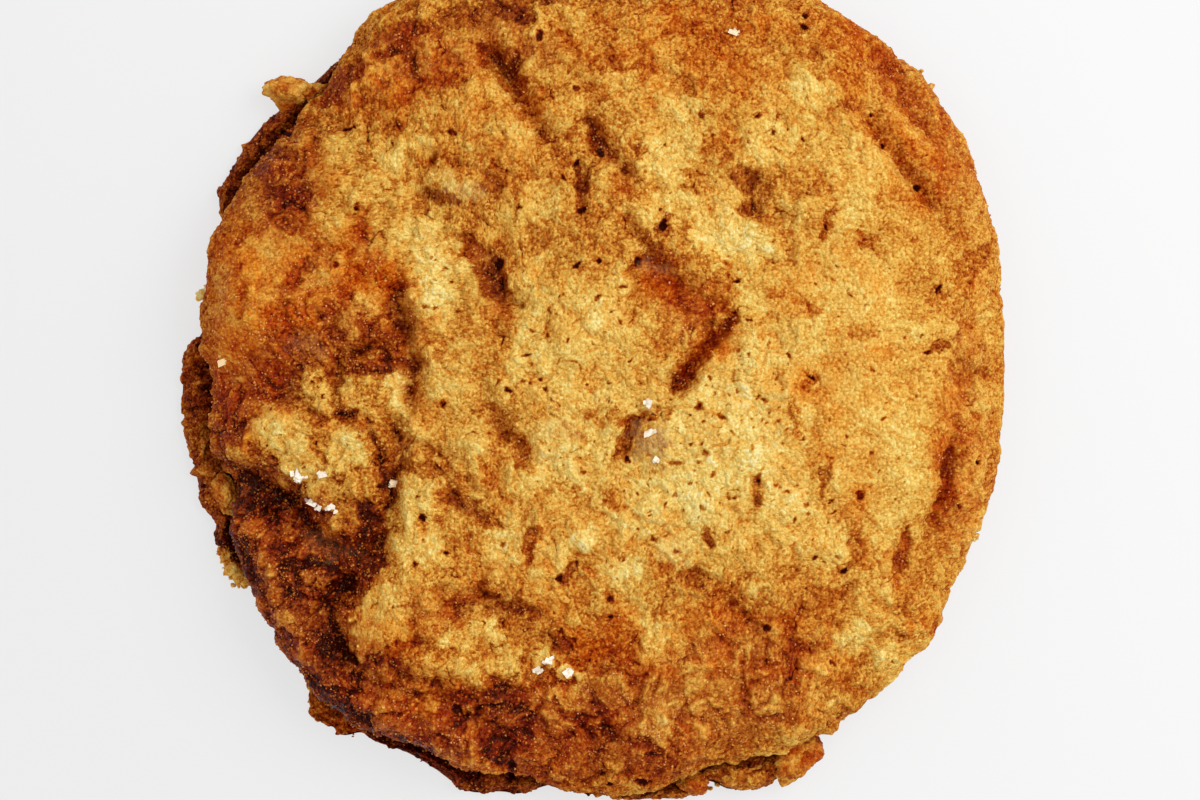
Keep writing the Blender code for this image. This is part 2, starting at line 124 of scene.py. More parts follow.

# Folds of the crust: route, half width, depth, and how dark the fold is drawn, for baked caramel with painted
# shade
CREASES = {
    "back_fold": ([(-10.6, 32.5), (-8.4, 30.5), (-7, 27.7), (-5.9, 25.7), (-4.2, 23)], 1, 1.5, 0.5),
    "back_middle": ([(-0.4, 26.3), (0.3, 24.2), (1.1, 22.4), (3.6, 20.8), (4.2, 19)], 0.8, 0.9, 0.5),
    "back_hollow": ([(-1.3, 21.2), (-0.7, 19.1), (-1.1, 16.2)], 0.9, 1, 0.42),
    "left_knob": ([(-15, 22.5), (-16.5, 20.2), (-17.5, 18.5), (-14.4, 17.1)], 0.8, 0.8, 0.5),
    "left_knob_back": ([(-14.4, 21), (-11, 20.5), (-9, 18)], 0.8, 0.6, 0.35),
    "right_notch": ([(15.2, 20.2), (16.2, 19.5), (16, 17.5), (16.4, 15.7)], 0.8, 0.9, 0.55),
    "centre_lead": ([(3.2, 16), (4.7, 13.5), (6, 11.8)], 0.7, 0.9, 0.45),
    "centre_fold": ([(5, 11.6), (7.8, 10), (10.4, 8.4), (12.2, 6.9), (13.3, 5.5)], 0.9, 1, 0.45),
    "centre_return": ([(13.4, 5.3), (11.9, 3.2), (10.4, 1.2), (9, -0.3), (8, -1.6)], 1.1, 1.6, 0.5),
    "centre_knob": ([(5, -4.3), (3.6, -6), (3.9, -8)], 0.6, 0.6, 0.38),
    "inner_left": ([(-10.6, 0.3), (-10.3, -3), (-8.5, -5.5), (-7, -7), (-6.5, -8.7)], 0.9, 0.8, 0.4),
    "inner_back": ([(-10.4, 12.5), (-10, 10), (-8.8, 7.2), (-5.9, 6.9)], 1.2, 1.2, 0.45),
    "inner_short": ([(-19, -6.2), (-17, -7), (-13.3, -8.5)], 0.8, 0.9, 0.55),
    "inner_front": ([(-14.2, -10.3), (-13.5, -12.5), (-11, -13.8), (-9.6, -14.7)], 0.9, 0.8, 0.45),
    "right_front": ([(16.6, -9.8), (16.3, -12.5), (15.4, -15)], 0.7, 0.6, 0.6),
    "long_left": (
        [(-19, 11), (-19.2, 7.5), (-18.2, 4), (-17.6, 1), (-17.9, -2.8), (-19.2, -5), (-18.6, -7),
         (-19.3, -9.8), (-19.8, -13), (-21, -17), (-23.2, -19.8)],
        1.1, 1.6, 0.62,
    ),
    "left_arm": ([(-19, 3), (-22, 2.5), (-24.6, 2.2), (-25.1, 0), (-25.2, -3.4)], 0.7, 1, 0.6),
    "left_arm_low": ([(-28.2, -2.4), (-26.7, -4.4), (-24.8, -4), (-23, -3.8), (-21, -5)], 0.5, 0.5, 0.62),
    "island_right": (
        [(-21.8, -5.2), (-21.2, -7), (-20.4, -9.5), (-19.9, -12.2), (-20.8, -14.5)],
        0.6, 0.9, 0.85,
    ),
    "crevice": (
        [(-36.9, -9.9), (-34.2, -10.9), (-31.8, -11.8), (-30, -13.4), (-28.2, -15.9), (-25.4, -18.2)],
        1.5, 2.3, 1,
    ),
    "crevice_floor": ([(-35.5, -12.5), (-33.5, -14), (-31, -15), (-28.5, -15.5)], 1.4, 1.6, 0.92),
    "front_crevice": (
        [(-23.8, -19.5), (-25.2, -21.5), (-26.4, -23.5), (-25.7, -26.3), (-24.4, -28.5), (-23, -30)],
        1.3, 2, 1,
    ),
    "front_rim": (
        [(-23, -30), (-19, -31.3), (-15, -32.5), (-12, -34), (-9, -36.5), (-7.8, -39.5)],
        1.1, 0.9, 0.6,
    ),
    "front_double_a": ([(-15.8, -21.2), (-12.5, -21.5), (-9, -21.7)], 0.7, 0.8, 0.5),
    "front_double_b": ([(-14.6, -23.4), (-12, -23.3), (-7.5, -23.1)], 0.7, 0.7, 0.42),
    "front_pale_edge": ([(-19.5, -29.3), (-17, -30.3), (-14.4, -30.8)], 0.7, 0.8, 0.5),
    "front_hollow": ([(-3, -36), (0, -36.3), (2.7, -35.7)], 1.2, 0.7, 0.6),
    "right_low_a": ([(9.3, -20.1), (11, -19.7), (13, -20.5)], 0.7, 0.7, 0.5),
    "right_low_b": ([(13.5, -22.5), (15.5, -24), (17, -25.5)], 0.8, 0.7, 0.4),
    "rim_groove_back": (
        [(27.2, 27.1), (28.6, 24.5), (30, 22.3), (31.5, 20.3), (33.2, 18.5), (34.8, 16.5)],
        0.9, 1.2, 0.42,
    ),
    "rim_groove_outer": (
        [(26.5, 33.5), (29.5, 31.1), (31.3, 28.5), (32.8, 25.7), (34.5, 23)],
        1.4, 0.7, 0.3,
    ),
    "rim_groove_right": ([(36, -5.5), (36, -9), (35.2, -12), (34.3, -15.5)], 1, 1.1, 0.42),
}

# Swellings of the crust: x, y, half length, half width, turn in degrees, height
SWELLS = {
    "left_shoulder": (-33.5, 8.5, 9, 5, 95, 1.2),
    "left_island": (-30, -6.3, 6, 4.2, -10, 1.3),
    "small_island": (-27.2, -1.5, 2.8, 2, -60, 0.9),
    "middle_island": (-21.8, -1.8, 3, 2.5, 10, 0.8),
    "lower_island": (-23.3, -8, 4, 3.2, 60, 0.9),
    "golden_lump": (-20.3, -24, 5.5, 4, 70, 1.1),
    "front_pale": (-15.5, -27.8, 4.6, 2.8, -10, 0.8),
    "rim_lump_left": (-30.8, -21.5, 4.5, 3, 110, 0.9),
    "rim_lump_front": (-27.8, -28, 4, 2.6, 130, 0.8),
    "rim_lump_corner": (-22, -33.3, 4.5, 2.2, 155, 0.7),
    "knob": (-12.8, 18.6, 2.1, 1.7, 20, 0.9),
    "centre_plateau": (-2, 2.5, 9, 7, 30, 0.8),
    "centre_knob": (6, -6.3, 1.8, 1.6, 0, 0.8),
    "right_plateau": (13, -9, 9, 6.5, 35, 0.7),
    "back_plateau": (-2.5, 30.5, 6, 4.5, -20, 0.6),
    "back_left_lump": (-11.5, 25.5, 5, 3.6, -40, 0.7),
    "left_dome": (-24, 17.5, 7, 5.5, 60, 0.9),
    "back_right_swell": (12, 25, 9, 6, -30, 0.6),
    "right_swell": (27, 5, 11, 5.5, 80, 0.6),
    "front_swell": (6, -29, 10, 5, 10, 0.5),
    "front_hump": (-14, -36.5, 3.6, 2, -15, 0.7),
    "bead_left": (-31.3, -22.6, 1.5, 1, -60, 0.5),
    "bead_pale": (-29.9, -25, 1.6, 1, -60, 0.5),
    "bead_low": (-27.6, -28.2, 1.5, 1, -50, 0.5),
    "bead_corner": (-25.7, -30.6, 1.4, 0.9, -40, 0.5),
    "bead_olive": (-22.4, -32.4, 1.5, 1, -30, 0.5),
    "bead_orange": (-19.9, -33.9, 1.4, 1, -25, 0.45),
    "bead_seam": (-24.6, -24.3, 1, 1.2, 0, 0.4),
    "bead_back": (-21.6, -30.2, 1.3, 0.9, 0, 0.4),
    "bead_ledge": (-34.4, -15.5, 1.4, 0.9, -30, 0.5),
    "bead_floor": (-32.3, -18.7, 1.8, 1.1, -30, 0.5),
    "bead_glint": (-27.2, -17.1, 1.3, 0.8, 20, 0.4),
    "bead_tan": (-26.5, -20.8, 1.1, 0.9, 0, 0.4),
    "bead_front": (6.6, -34.8, 1.6, 1.5, 20, 0.4),
    "bead_middle": (-1.6, -32.4, 2, 1.3, -20, 0.4),
}

# Baked patches, painted in this order: x, y, half length, half width, turn, tone, strength
WASHES = (
    # Broad zones of the crust
    (-31, 0, 27, 10, 90, 0.6, 0.8), (-28, -20, 15, 8, -55, 0.82, 0.85), (-6, -36, 20, 6, 0, 0.7, 0.8),
    (14, -30, 13, 7, 10, 0.51, 0.7), (39, -2, 24, 4, 90, 0.42, 0.7), (33, 24, 16, 5, -58, 0.5, 0.7),
    (0, 35, 22, 5, 0, 0.48, 0.75), (-20, 31, 9, 5, 38, 0.58, 0.6), (5, -27, 12, 4, 5, 0.52, 0.6),
    (32, -20, 9, 6, 55, 0.4, 0.65), (14, -8, 13, 10, 60, 0.2, 0.85), (27, 2, 19, 8, 86, 0.27, 0.85),
    (8, 20, 8, 6.5, 90, 0.3, 0.7), (-1.5, 1, 10, 8.5, 90, 0.24, 0.85), (-2, -9, 6, 6, 0, 0.22, 0.85),
    (-14, 0, 15, 4.5, 90, 0.38, 0.8), (-15.5, 12, 5, 3.5, 90, 0.24, 0.8), (-6, -17, 11, 4.5, 0, 0.36, 0.8),
    (-22, 19, 8, 6, 20, 0.45, 0.75), (-9.5, 25, 6, 4.5, -40, 0.38, 0.8), (21, -17, 9, 5, 10, 0.34, 0.75),
    (27, 20, 8, 4.5, 90, 0.34, 0.7), (20, 27, 7, 4, -20, 0.38, 0.7), (2, 30, 9, 5, 10, 0.45, 0.6),
    (18.5, 10, 4.5, 3, 10, 0.31, 0.8),
)
PATCHES = (
    # Back left: rim, granular caramel, pale lumps
    (-35, 18, 3.5, 1.2, 65, 0.55, 0.7), (-30.6, 19.2, 5.2, 2.5, 105, 0.75, 0.85),
    (-28.2, 15.4, 1.4, 1.2, 0, 0.62, 0.7), (-29, 23, 3, 2.2, 60, 0.58, 0.7),
    (-27.2, 26.2, 1, 0.6, 0, 0.4, 0.6), (-24.9, 21.9, 2.2, 2, 30, 0.34, 0.8),
    (-19.6, 21.3, 1.8, 2.2, 0, 0.24, 0.8), (-17, 22.8, 1.5, 1.6, 0, 0.24, 0.8),
    (-14.4, 23.6, 1.8, 1.4, 0, 0.42, 0.7), (-13.8, 21.2, 1.6, 0.8, 0, 0.58, 0.75),
    (-22, 18.2, 3, 2, 0, 0.3, 0.7), (-25.6, 16, 2.2, 1.8, 0, 0.4, 0.7),
    (-17, 14.8, 2.2, 1.3, -40, 0.17, 0.85), (-15.8, 10.6, 1.9, 3, 10, 0.13, 0.9),
    (-13.4, 14.8, 1.6, 1.2, -60, 0.54, 0.7), (-20.8, 15.6, 1.8, 1.6, 0, 0.46, 0.7),
    (-22.6, 14, 2, 0.9, 100, 0.54, 0.7), (-31.6, 10.8, 4.4, 2.8, 110, 0.33, 0.9),
    (-27, 12, 2, 1.5, 40, 0.52, 0.7), (-21.4, 29.6, 3.8, 1.5, 40, 0.36, 0.85),
    (-22.3, 27.8, 3.2, 1, 30, 0.64, 0.75), (-16, 30.2, 3.8, 1.5, -15, 0.69, 0.8),
    (-19, 33.6, 3.4, 1.6, 30, 0.74, 0.75), (-14, 32.2, 1.6, 1.2, 0, 0.42, 0.6),
    (-15, 36.5, 3.5, 1, 10, 0.42, 0.7), (-24.5, 29.8, 2.4, 1.2, 45, 0.74, 0.6),
    (-33, 22.5, 2.5, 1.3, 60, 0.72, 0.6), (-33.8, 15, 2, 1.6, 60, 0.5, 0.6),
    (-21, 24.6, 2.4, 1.2, 0, 0.56, 0.6), (-26, 28, 1.8, 1.2, 45, 0.7, 0.6),
    # Left: smooth golden shoulder, orange and maroon zones
    (-35, 5, 5.5, 2.6, 95, 0.44, 0.85), (-32.6, 8.5, 3, 2, 80, 0.4, 0.8), (-36.8, 8, 5.5, 1.5, 83, 0.5, 0.8),
    (-33.9, 7, 1.6, 0.5, 80, 0.6, 0.7), (-29.4, 8, 3.4, 1.1, 85, 0.6, 0.8),
    (-22.8, 11.4, 3.2, 1.6, 0, 0.46, 0.8), (-22, 8, 1.9, 1.6, 0, 0.36, 0.85),
    (-28.3, 6.3, 1.6, 1.2, 20, 0.44, 0.8), (-26.8, 9, 1.6, 2, 60, 0.32, 0.8),
    (-25.2, 14, 1.8, 1.3, 0, 0.38, 0.75), (-32.6, 1, 2.8, 1.7, 20, 0.62, 0.85),
    (-32.6, -1.8, 3.2, 1.3, -10, 0.72, 0.8), (-22.4, 3.3, 4.2, 2.1, 0, 0.68, 0.85),
    (-19, 6, 1.4, 3.6, 0, 0.66, 0.75), (-20, 0.9, 3.2, 1, 0, 0.8, 0.85),
    (-29.2, 12.2, 1.6, 1.4, 0, 0.34, 0.8), (-31.2, 5.6, 1.2, 1.6, 0, 0.46, 0.7),
    (-22.9, 11.2, 1.4, 0.9, 0, 0.42, 0.7), (-28.4, 3.2, 1.1, 0.9, 0, 0.62, 0.8),
    (-27.2, 4.1, 1, 0.9, 0, 0.5, 0.7), (-26.6, 1.9, 1, 0.8, 0, 0.52, 0.8),
    (-28.9, 0.4, 1.3, 1.2, 0, 0.68, 0.8), (-30.2, 4.6, 1.6, 1.4, 0, 0.6, 0.6),
    (-25.4, 6.6, 2, 1.2, 0, 0.5, 0.6),
    # Left: pale islands between the dark folds
    (-26.7, -1.8, 2.3, 1.25, -62, 0.27, 0.95), (-23.8, -1.6, 1.2, 1.9, 0, 0.26, 0.95),
    (-21.6, -1.8, 1.4, 2, 20, 0.38, 0.9), (-19.3, -1.7, 1.9, 1.1, 85, 0.22, 0.9),
    (-19.2, -3.6, 0.6, 0.6, 0, 0.12, 0.7), (-21.8, -3.9, 1.4, 0.7, -20, 0.2, 0.75),
    (-30.2, -5.8, 3.6, 2.4, -10, 0.27, 0.95), (-28.4, -8.6, 3, 1.8, -25, 0.26, 0.9),
    (-24, -7.4, 3.4, 1.9, -68, 0.24, 0.95), (-22.9, -10.8, 1.8, 1.9, 60, 0.4, 0.85),
    (-26.6, -11.6, 2.2, 1.8, -32, 0.3, 0.9), (-24.6, -13.6, 2.6, 1, -30, 0.5, 0.85),
    (-35.6, -5.4, 3.2, 1.6, 80, 0.74, 0.85), (-34.2, -8.2, 2.2, 1.2, -20, 0.5, 0.8),
    (-26.4, -5.9, 1.6, 0.9, 10, 0.45, 0.6), (-20.4, -7.4, 1.7, 0.9, -75, 0.55, 0.85),
    (-20.2, -10.6, 1.3, 0.9, 85, 0.95, 0.85), (-21.6, -15.6, 3.4, 1.2, -72, 0.92, 0.85),
    (-19.4, -15, 0.8, 1, 0, 0.42, 0.8),
    # Front left: dark caramel floor with lumps
    (-32.5, -12.4, 4.2, 1.8, -18, 1, 0.97), (-29.8, -14.2, 1.6, 0.9, -45, 0.95, 0.85),
    (-26.4, -16.8, 3.4, 1.6, -10, 0.74, 0.85), (-34.3, -15.5, 1.5, 1, -30, 0.46, 0.9),
    (-30.6, -15.9, 2, 0.9, -5, 0.62, 0.85), (-33.3, -12, 1.2, 0.7, 0, 0.76, 0.7),
    (-32.4, -18.6, 2, 1.1, -30, 0.54, 0.9), (-36.4, -16.8, 2.4, 0.5, -70, 0.6, 0.7),
    (-28.5, -20.6, 2.6, 1.6, -50, 0.84, 0.7), (-26.6, -20.8, 1.1, 0.9, 0, 0.5, 0.8),
    (-27.2, -17, 1.2, 0.8, 20, 0.54, 0.75), (-24.8, -15.2, 1.3, 0.8, 0, 0.5, 0.75),
    (-20.3, -17.8, 0.9, 1.6, 10, 0.56, 0.7), (-31.2, -22.6, 2.6, 1.3, -62, 0.6, 0.85),
    (-29.8, -24.8, 1.6, 1, -60, 0.53, 0.8), (-27.6, -28, 2.2, 1, -50, 0.62, 0.8),
    (-25.7, -30.4, 2, 1, -35, 0.58, 0.75), (-25.2, -22, 2, 1.2, 60, 1, 1),
    (-25.9, -26.2, 2.4, 1.2, 90, 1, 0.95), (-28, -24.2, 1, 2.6, 25, 0.84, 0.8),
    (-23.6, -29.6, 1.6, 1, -10, 0.95, 0.85), (-23, -32.2, 2.8, 1.4, -25, 0.82, 0.8),
    (-22.3, -32.5, 1.2, 0.8, -25, 0.62, 0.75), (-19.8, -34, 1.4, 1, -25, 0.5, 0.8),
    (-20.6, -29.8, 1.8, 0.9, -10, 0.5, 0.75), (-25.2, -32.8, 5, 1.4, -40, 0.92, 0.9),
    (-18.4, -37, 5, 1, -24, 0.8, 0.85), (-11.8, -38.3, 1.8, 0.8, -15, 0.46, 0.8),
    (-24.6, -24.2, 1.2, 1, 90, 0.74, 0.6), (-21.2, -17.8, 3, 1.1, -75, 0.82, 0.75),
    (-19.3, -17.6, 1, 1.2, 10, 0.6, 0.85),
    # Front left: golden lump and the pale strip before it
    (-20.3, -23.4, 3.4, 2.8, 60, 0.27, 0.95), (-21.8, -26.2, 2.4, 1.8, 0, 0.42, 0.85),
    (-17.8, -27.4, 2.6, 1.2, -10, 0.48, 0.8), (-18.2, -24.6, 1.4, 1.2, 0, 0.28, 0.7),
    (-17.4, -16.8, 2.6, 2.2, 20, 0.22, 0.85), (-17.2, -12.8, 1.6, 2, 0, 0.22, 0.8),
    (-18.8, -20.2, 2, 1, 0, 0.34, 0.7), (-11.8, -25.7, 2.6, 1.2, 10, 0.27, 0.9),
    (-15.4, -24.4, 2.6, 1, 5, 0.6, 0.75), (-9.2, -25.4, 1.2, 1, 0, 0.12, 0.8),
    (-8.2, -28.2, 2.6, 1.7, -10, 0.28, 0.85), (-14.6, -28.2, 2.4, 1.6, -20, 0.36, 0.8),
    (-11.6, -29.4, 2.4, 1.2, -10, 0.42, 0.75), (-14.6, -30.2, 3.2, 0.8, -12, 0.5, 0.75),
    (-4.4, -28.4, 1.5, 0.9, 20, 0.2, 0.8), (-6.2, -28.6, 0.9, 1.4, 0, 0.6, 0.7),
    (-5.2, -25, 2.2, 1.2, 0, 0.6, 0.7), (-9.8, -21.2, 2, 0.8, 0, 0.6, 0.7),
    (-2.1, -29.4, 0.9, 0.9, 0, 0.12, 0.8), (-12, -22.3, 3, 0.7, 0, 0.7, 0.75),
    (-7, -23, 2.4, 0.9, -10, 0.72, 0.7), (-16.4, -32.6, 1.4, 0.9, 20, 0.4, 0.8),
    (-18.8, -33.4, 1.6, 1.2, 0, 0.6, 0.7), (-13, -33, 2.6, 1.4, -20, 0.77, 0.7),
    # Front: caramel band with golden lumps
    (-8.6, -33.6, 3.6, 1.6, -80, 0.8, 0.85), (-9.2, -37, 2.4, 1.8, -70, 0.84, 0.8),
    (-6.6, -34.8, 2.4, 1.2, -80, 0.8, 0.75), (-13.6, -36.8, 2.6, 1.4, -20, 0.62, 0.8),
    (-1.6, -32.4, 2.3, 1.5, -20, 0.36, 0.9), (-6.3, -29.8, 1.2, 0.9, 0, 0.42, 0.7),
    (-3.4, -35.2, 2, 1.2, 0, 0.72, 0.85), (3.2, -28.6, 3, 2.2, 10, 0.6, 0.8),
    (7.4, -26.8, 2.6, 2.2, 0, 0.34, 0.8), (6.6, -34.8, 1.7, 1.8, 20, 0.3, 0.9),
    (2.4, -32.6, 3.2, 1.6, -30, 0.62, 0.75), (10.4, -31.4, 1.8, 1.8, 0, 0.42, 0.8),
    (13, -31, 1.6, 1.8, 0, 0.5, 0.8), (0.4, -36.4, 3.4, 1.2, -5, 0.76, 0.75),
    (3, -38.6, 6, 1.6, 0, 0.62, 0.7), (12, -36.8, 3.4, 1.8, 10, 0.48, 0.8),
    (-4.4, -39.6, 2.6, 1.2, -20, 0.58, 0.7), (-10.4, -39.1, 2.4, 0.8, -10, 0.42, 0.8),
    (5.2, -31.4, 1.8, 1.4, 0, 0.68, 0.6), (8.8, -33.8, 1.2, 0.8, 0, 0.7, 0.6),
    # Front right
    (15.4, -26.9, 1, 0.8, 80, 0.38, 0.8), (17.4, -31.6, 1.6, 1.2, 90, 0.46, 0.8),
    (22.2, -31.8, 2.6, 1.8, -30, 0.42, 0.85), (19.8, -28.8, 4.2, 1, 88, 0.7, 0.75),
    (15.8, -29.6, 2.6, 0.9, 85, 0.67, 0.8), (16.8, -26.6, 2.8, 0.8, -70, 0.66, 0.75),
    (13.6, -26.2, 2.4, 1.4, 0, 0.56, 0.7), (16.4, -33.6, 2.4, 0.9, -20, 0.62, 0.6),
    (20.2, -33.2, 1.6, 1, 60, 0.52, 0.8), (26, -26.6, 2.5, 2, 50, 0.26, 0.9),
    (28.6, -22.2, 2.6, 1.8, 0, 0.34, 0.8), (26.8, -30.2, 1.6, 0.7, 10, 0.52, 0.6),
    (30.2, -28.2, 3.6, 1.6, 48, 0.3, 0.85), (33.8, -24.8, 1.3, 1, 30, 0.6, 0.85),
    (31, -26.2, 1.2, 0.8, 0, 0.56, 0.7), (32.4, -23.2, 1.4, 1.2, 0, 0.38, 0.6),
    (21.4, -22.2, 2.8, 1.6, 0, 0.58, 0.7), (18, -20, 3, 1.4, 10, 0.46, 0.75),
    (24.4, -17, 2.8, 2.2, 20, 0.26, 0.8), (31.2, -17.6, 2.6, 0.9, 80, 0.7, 0.75),
    (28.8, -15.8, 1.6, 1.4, 0, 0.3, 0.7), (26.4, -17, 2.4, 0.9, 95, 0.64, 0.75),
    (25.3, -19.4, 1.2, 0.6, 20, 0.58, 0.7), (34.8, -16.6, 2.4, 1.4, 60, 0.54, 0.7),
    (17.2, -17.2, 2.4, 1.8, 0, 0.38, 0.75), (32.4, -21.4, 2.6, 2, 60, 0.5, 0.7),
    (16.4, -36.4, 3.6, 1.2, 20, 0.5, 0.7), (10.6, -24.8, 2.2, 1.4, 0, 0.4, 0.75),
    (22.6, -25, 2.6, 1.4, 0, 0.46, 0.7), (24.2, -28.6, 2.2, 1.5, 0, 0.34, 0.75),
    (10.2, -35.4, 2.2, 1.1, 0, 0.4, 0.75), (15, -35.2, 2, 0.9, 20, 0.6, 0.7),
    (15.4, -14.8, 1.6, 0.9, 65, 0.66, 0.9), (18.8, -10.8, 1.6, 1.8, 0, 0.15, 0.8),
    # Middle front: pale lumps
    (-8.2, -16.8, 2.6, 2.2, 80, 0.22, 0.85), (-3.4, -17.2, 1.8, 1.6, 0, 0.26, 0.8),
    (-0.2, -16.2, 1.6, 1.5, 0, 0.16, 0.85), (3.2, -19, 2.8, 1.3, 10, 0.18, 0.85),
    (7.8, -16.6, 2.4, 2, 0, 0.2, 0.85), (7.2, -19.2, 1.5, 0.7, 0, 0.5, 0.7),
    (5.7, -18.2, 0.8, 0.8, 0, 0.52, 0.85), (13, -17.6, 1.6, 2, 0, 0.32, 0.8),
    (-5.8, -16.8, 2.2, 0.6, 80, 0.66, 0.75), (11.8, -16.4, 1.3, 0.5, 100, 0.68, 0.75),
    (-12.4, -17.4, 2.4, 1.8, 0, 0.48, 0.7), (-2.4, -19.8, 1.2, 0.6, 30, 0.7, 0.7),
    (-3.6, -22.4, 1.4, 1.4, 0, 0.32, 0.75), (6.6, -21.8, 2, 1.4, 0, 0.44, 0.7),
    (-3.2, -26.4, 1.4, 0.9, -30, 0.76, 0.75), (1.2, -23.4, 2, 1.2, 0, 0.43, 0.7),
    (0.6, -27, 1.4, 1, 0, 0.48, 0.7), (4.4, -23.2, 3.2, 1.2, -55, 0.3, 0.8),
    (10, -20.2, 1.8, 1, -10, 0.66, 0.7), (13.2, -21.6, 2.2, 1.2, 0, 0.62, 0.6),
    (-6.4, -26.4, 1.6, 0.8, 0, 0.52, 0.6),
    # Middle: plateau, inner folds and the clear lump
    (-2.8, -5.6, 1.7, 1.2, 0, 0.31, 0.8), (-3, -8, 2, 1.3, 0, 0.2, 0.8), (1, -7.5, 1.1, 0.8, 20, 0.2, 0.8),
    (6, -6.7, 1.7, 2, 10, 0.44, 0.9), (6.8, -7.9, 0.9, 0.6, 20, 0.24, 0.8),
    (3.6, -6.2, 2.6, 0.7, 75, 0.66, 0.8), (2.3, -4, 1.1, 1.4, 10, 0.56, 0.8),
    (7.9, -4, 0.7, 1.6, 10, 0.6, 0.75), (7.6, 1.6, 1.2, 1, 0, 0.52, 0.7),
    (5.4, -4.2, 1.8, 0.5, 25, 0.56, 0.7), (0.4, -4.1, 1.4, 0.6, -20, 0.48, 0.7),
    (-1.1, -6.6, 0.9, 0.8, 0, 0.5, 0.75), (2.6, -12.6, 2.2, 0.8, -50, 0.54, 0.75),
    (-3, -12.6, 3, 1.6, 0, 0.37, 0.7), (-11.4, -6.6, 2, 1.6, 90, 0.36, 0.7),
    (-15.2, -0.6, 2.4, 2, 0, 0.28, 0.8), (-16.4, -3.8, 2.2, 1.6, 0, 0.34, 0.75),
    (-14.9, 8.2, 2.6, 2, 90, 0.16, 0.85), (-16.2, 3.6, 1.8, 1.4, 0, 0.42, 0.6),
    (-16.6, -11.4, 1.8, 2.4, 30, 0.26, 0.85), (-13.2, -12.4, 2.2, 0.9, -32, 0.68, 0.75),
    (-10.4, -14.3, 1.7, 0.8, -20, 0.64, 0.7), (-15, -9.4, 3.4, 0.8, -15, 0.6, 0.7),
    (-9.7, 9.2, 2.6, 1.4, 115, 0.8, 0.8), (-8.8, 4, 3.4, 1.2, 85, 0.52, 0.75),
    (-8.6, -5, 3, 1, -40, 0.56, 0.75), (-6.6, -8.2, 1.8, 0.9, -75, 0.62, 0.8),
    (-5.2, -1.8, 1.6, 1.2, 0, 0.26, 0.7), (-4.8, 7.6, 2, 1.2, 0, 0.3, 0.7), (-1, 8.6, 1.6, 1.2, 0, 0.3, 0.6),
    (8, 2.4, 2.4, 2.8, 60, 0.45, 0.8), (9, 7.8, 3.4, 1.4, -35, 0.64, 0.8),
    (14.4, 7.8, 1.2, 1.5, -20, 0.34, 0.8), (12.4, 3.8, 3.4, 0.9, 48, 0.72, 0.8),
    (9.6, 0, 2.4, 0.7, 55, 0.72, 0.8), (6, 10.6, 1.8, 1.2, -20, 0.64, 0.75),
    (4.8, 6.4, 1.2, 1.6, 0, 0.44, 0.6), (-8.2, 14.6, 2.2, 1.8, 0, 0.34, 0.7),
    (-4.8, 17.6, 2.2, 1.8, 30, 0.24, 0.8), (-11, 12.2, 2.2, 1.1, -35, 0.7, 0.8),
    (-3, 20, 1, 1.2, 0, 0.4, 0.7), (-0.8, 18.4, 0.8, 2.2, 0, 0.7, 0.75),
    (-3.6, 22.6, 2.6, 0.9, -50, 0.56, 0.75), (0.6, 23.8, 2.4, 0.8, -75, 0.72, 0.75),
    (3.9, 19.4, 2.4, 0.7, 90, 0.6, 0.7), (-12.7, 18.4, 1.5, 1.3, 0, 0.3, 0.85),
    (-9.8, 19.3, 1.4, 0.9, -30, 0.66, 0.7), (-5, 21.2, 1.3, 2.2, 10, 0.36, 0.7),
    (-5.6, 10.3, 1.6, 1.2, 0, 0.28, 0.75), (7.2, 11.8, 2.4, 1, -30, 0.68, 0.75),
    (5.2, 13.6, 1.5, 0.7, -60, 0.62, 0.7), (4.6, -14.4, 2.2, 1.8, 0, 0.2, 0.8),
    (-15, 20, 1.3, 1.1, 0, 0.24, 0.85), (-14.6, 17.6, 2.2, 0.6, -15, 0.74, 0.75),
    (-18.4, 18.4, 1.8, 0.8, 10, 0.28, 0.7),
    # Back: golden crumb with brown bands
    (-7.4, 27.6, 2.8, 0.8, -60, 0.22, 0.8), (-11.2, 24.2, 2.6, 2.2, 0, 0.36, 0.7),
    (-9.2, 31.7, 2.2, 1.1, -30, 0.7, 0.8), (-10.2, 34, 1.4, 0.7, 0, 0.44, 0.7),
    (-8, 29.4, 2.2, 0.9, -55, 0.7, 0.75), (-7.2, 23.4, 1.4, 2.4, 20, 0.3, 0.7),
    (-12, 35.6, 3.6, 1.4, 0, 0.66, 0.75), (-7.8, 36.2, 2.6, 1.2, -20, 0.76, 0.75),
    (-4, 37.2, 1.4, 0.7, 0, 0.8, 0.6), (-2.6, 35.2, 1.6, 1.6, 0, 0.34, 0.7),
    (3.4, 29, 2.4, 1.6, 60, 0.28, 0.75), (6.8, 28.4, 1.4, 1.4, 0, 0.26, 0.75),
    (2.6, 35.4, 2.4, 1.2, 0, 0.46, 0.6), (6.6, 34, 3.4, 1.5, 0, 0.36, 0.8), (3.6, 32, 1.6, 1, 0, 0.4, 0.75),
    (7, 36.8, 2.2, 1, 0, 0.5, 0.7), (13, 33, 2.2, 1.5, 0, 0.54, 0.7), (1.2, 30.4, 2.2, 1, 0, 0.6, 0.75),
    (-1.8, 28, 1.6, 0.8, 0, 0.52, 0.7), (11.6, 29.4, 2.6, 1.4, -45, 0.52, 0.7),
    (5.2, 30.6, 0.9, 0.5, 0, 0.6, 0.7), (-4.6, 27.4, 1.4, 1.2, 0, 0.32, 0.6),
    (7.8, 21.6, 3, 2.2, 0, 0.2, 0.85), (4.9, 22, 0.6, 0.9, 0, 0.62, 0.7),
    (5.6, 17.2, 1.6, 0.9, -50, 0.57, 0.8), (10.3, 19.8, 0.8, 0.5, 0, 0.58, 0.7),
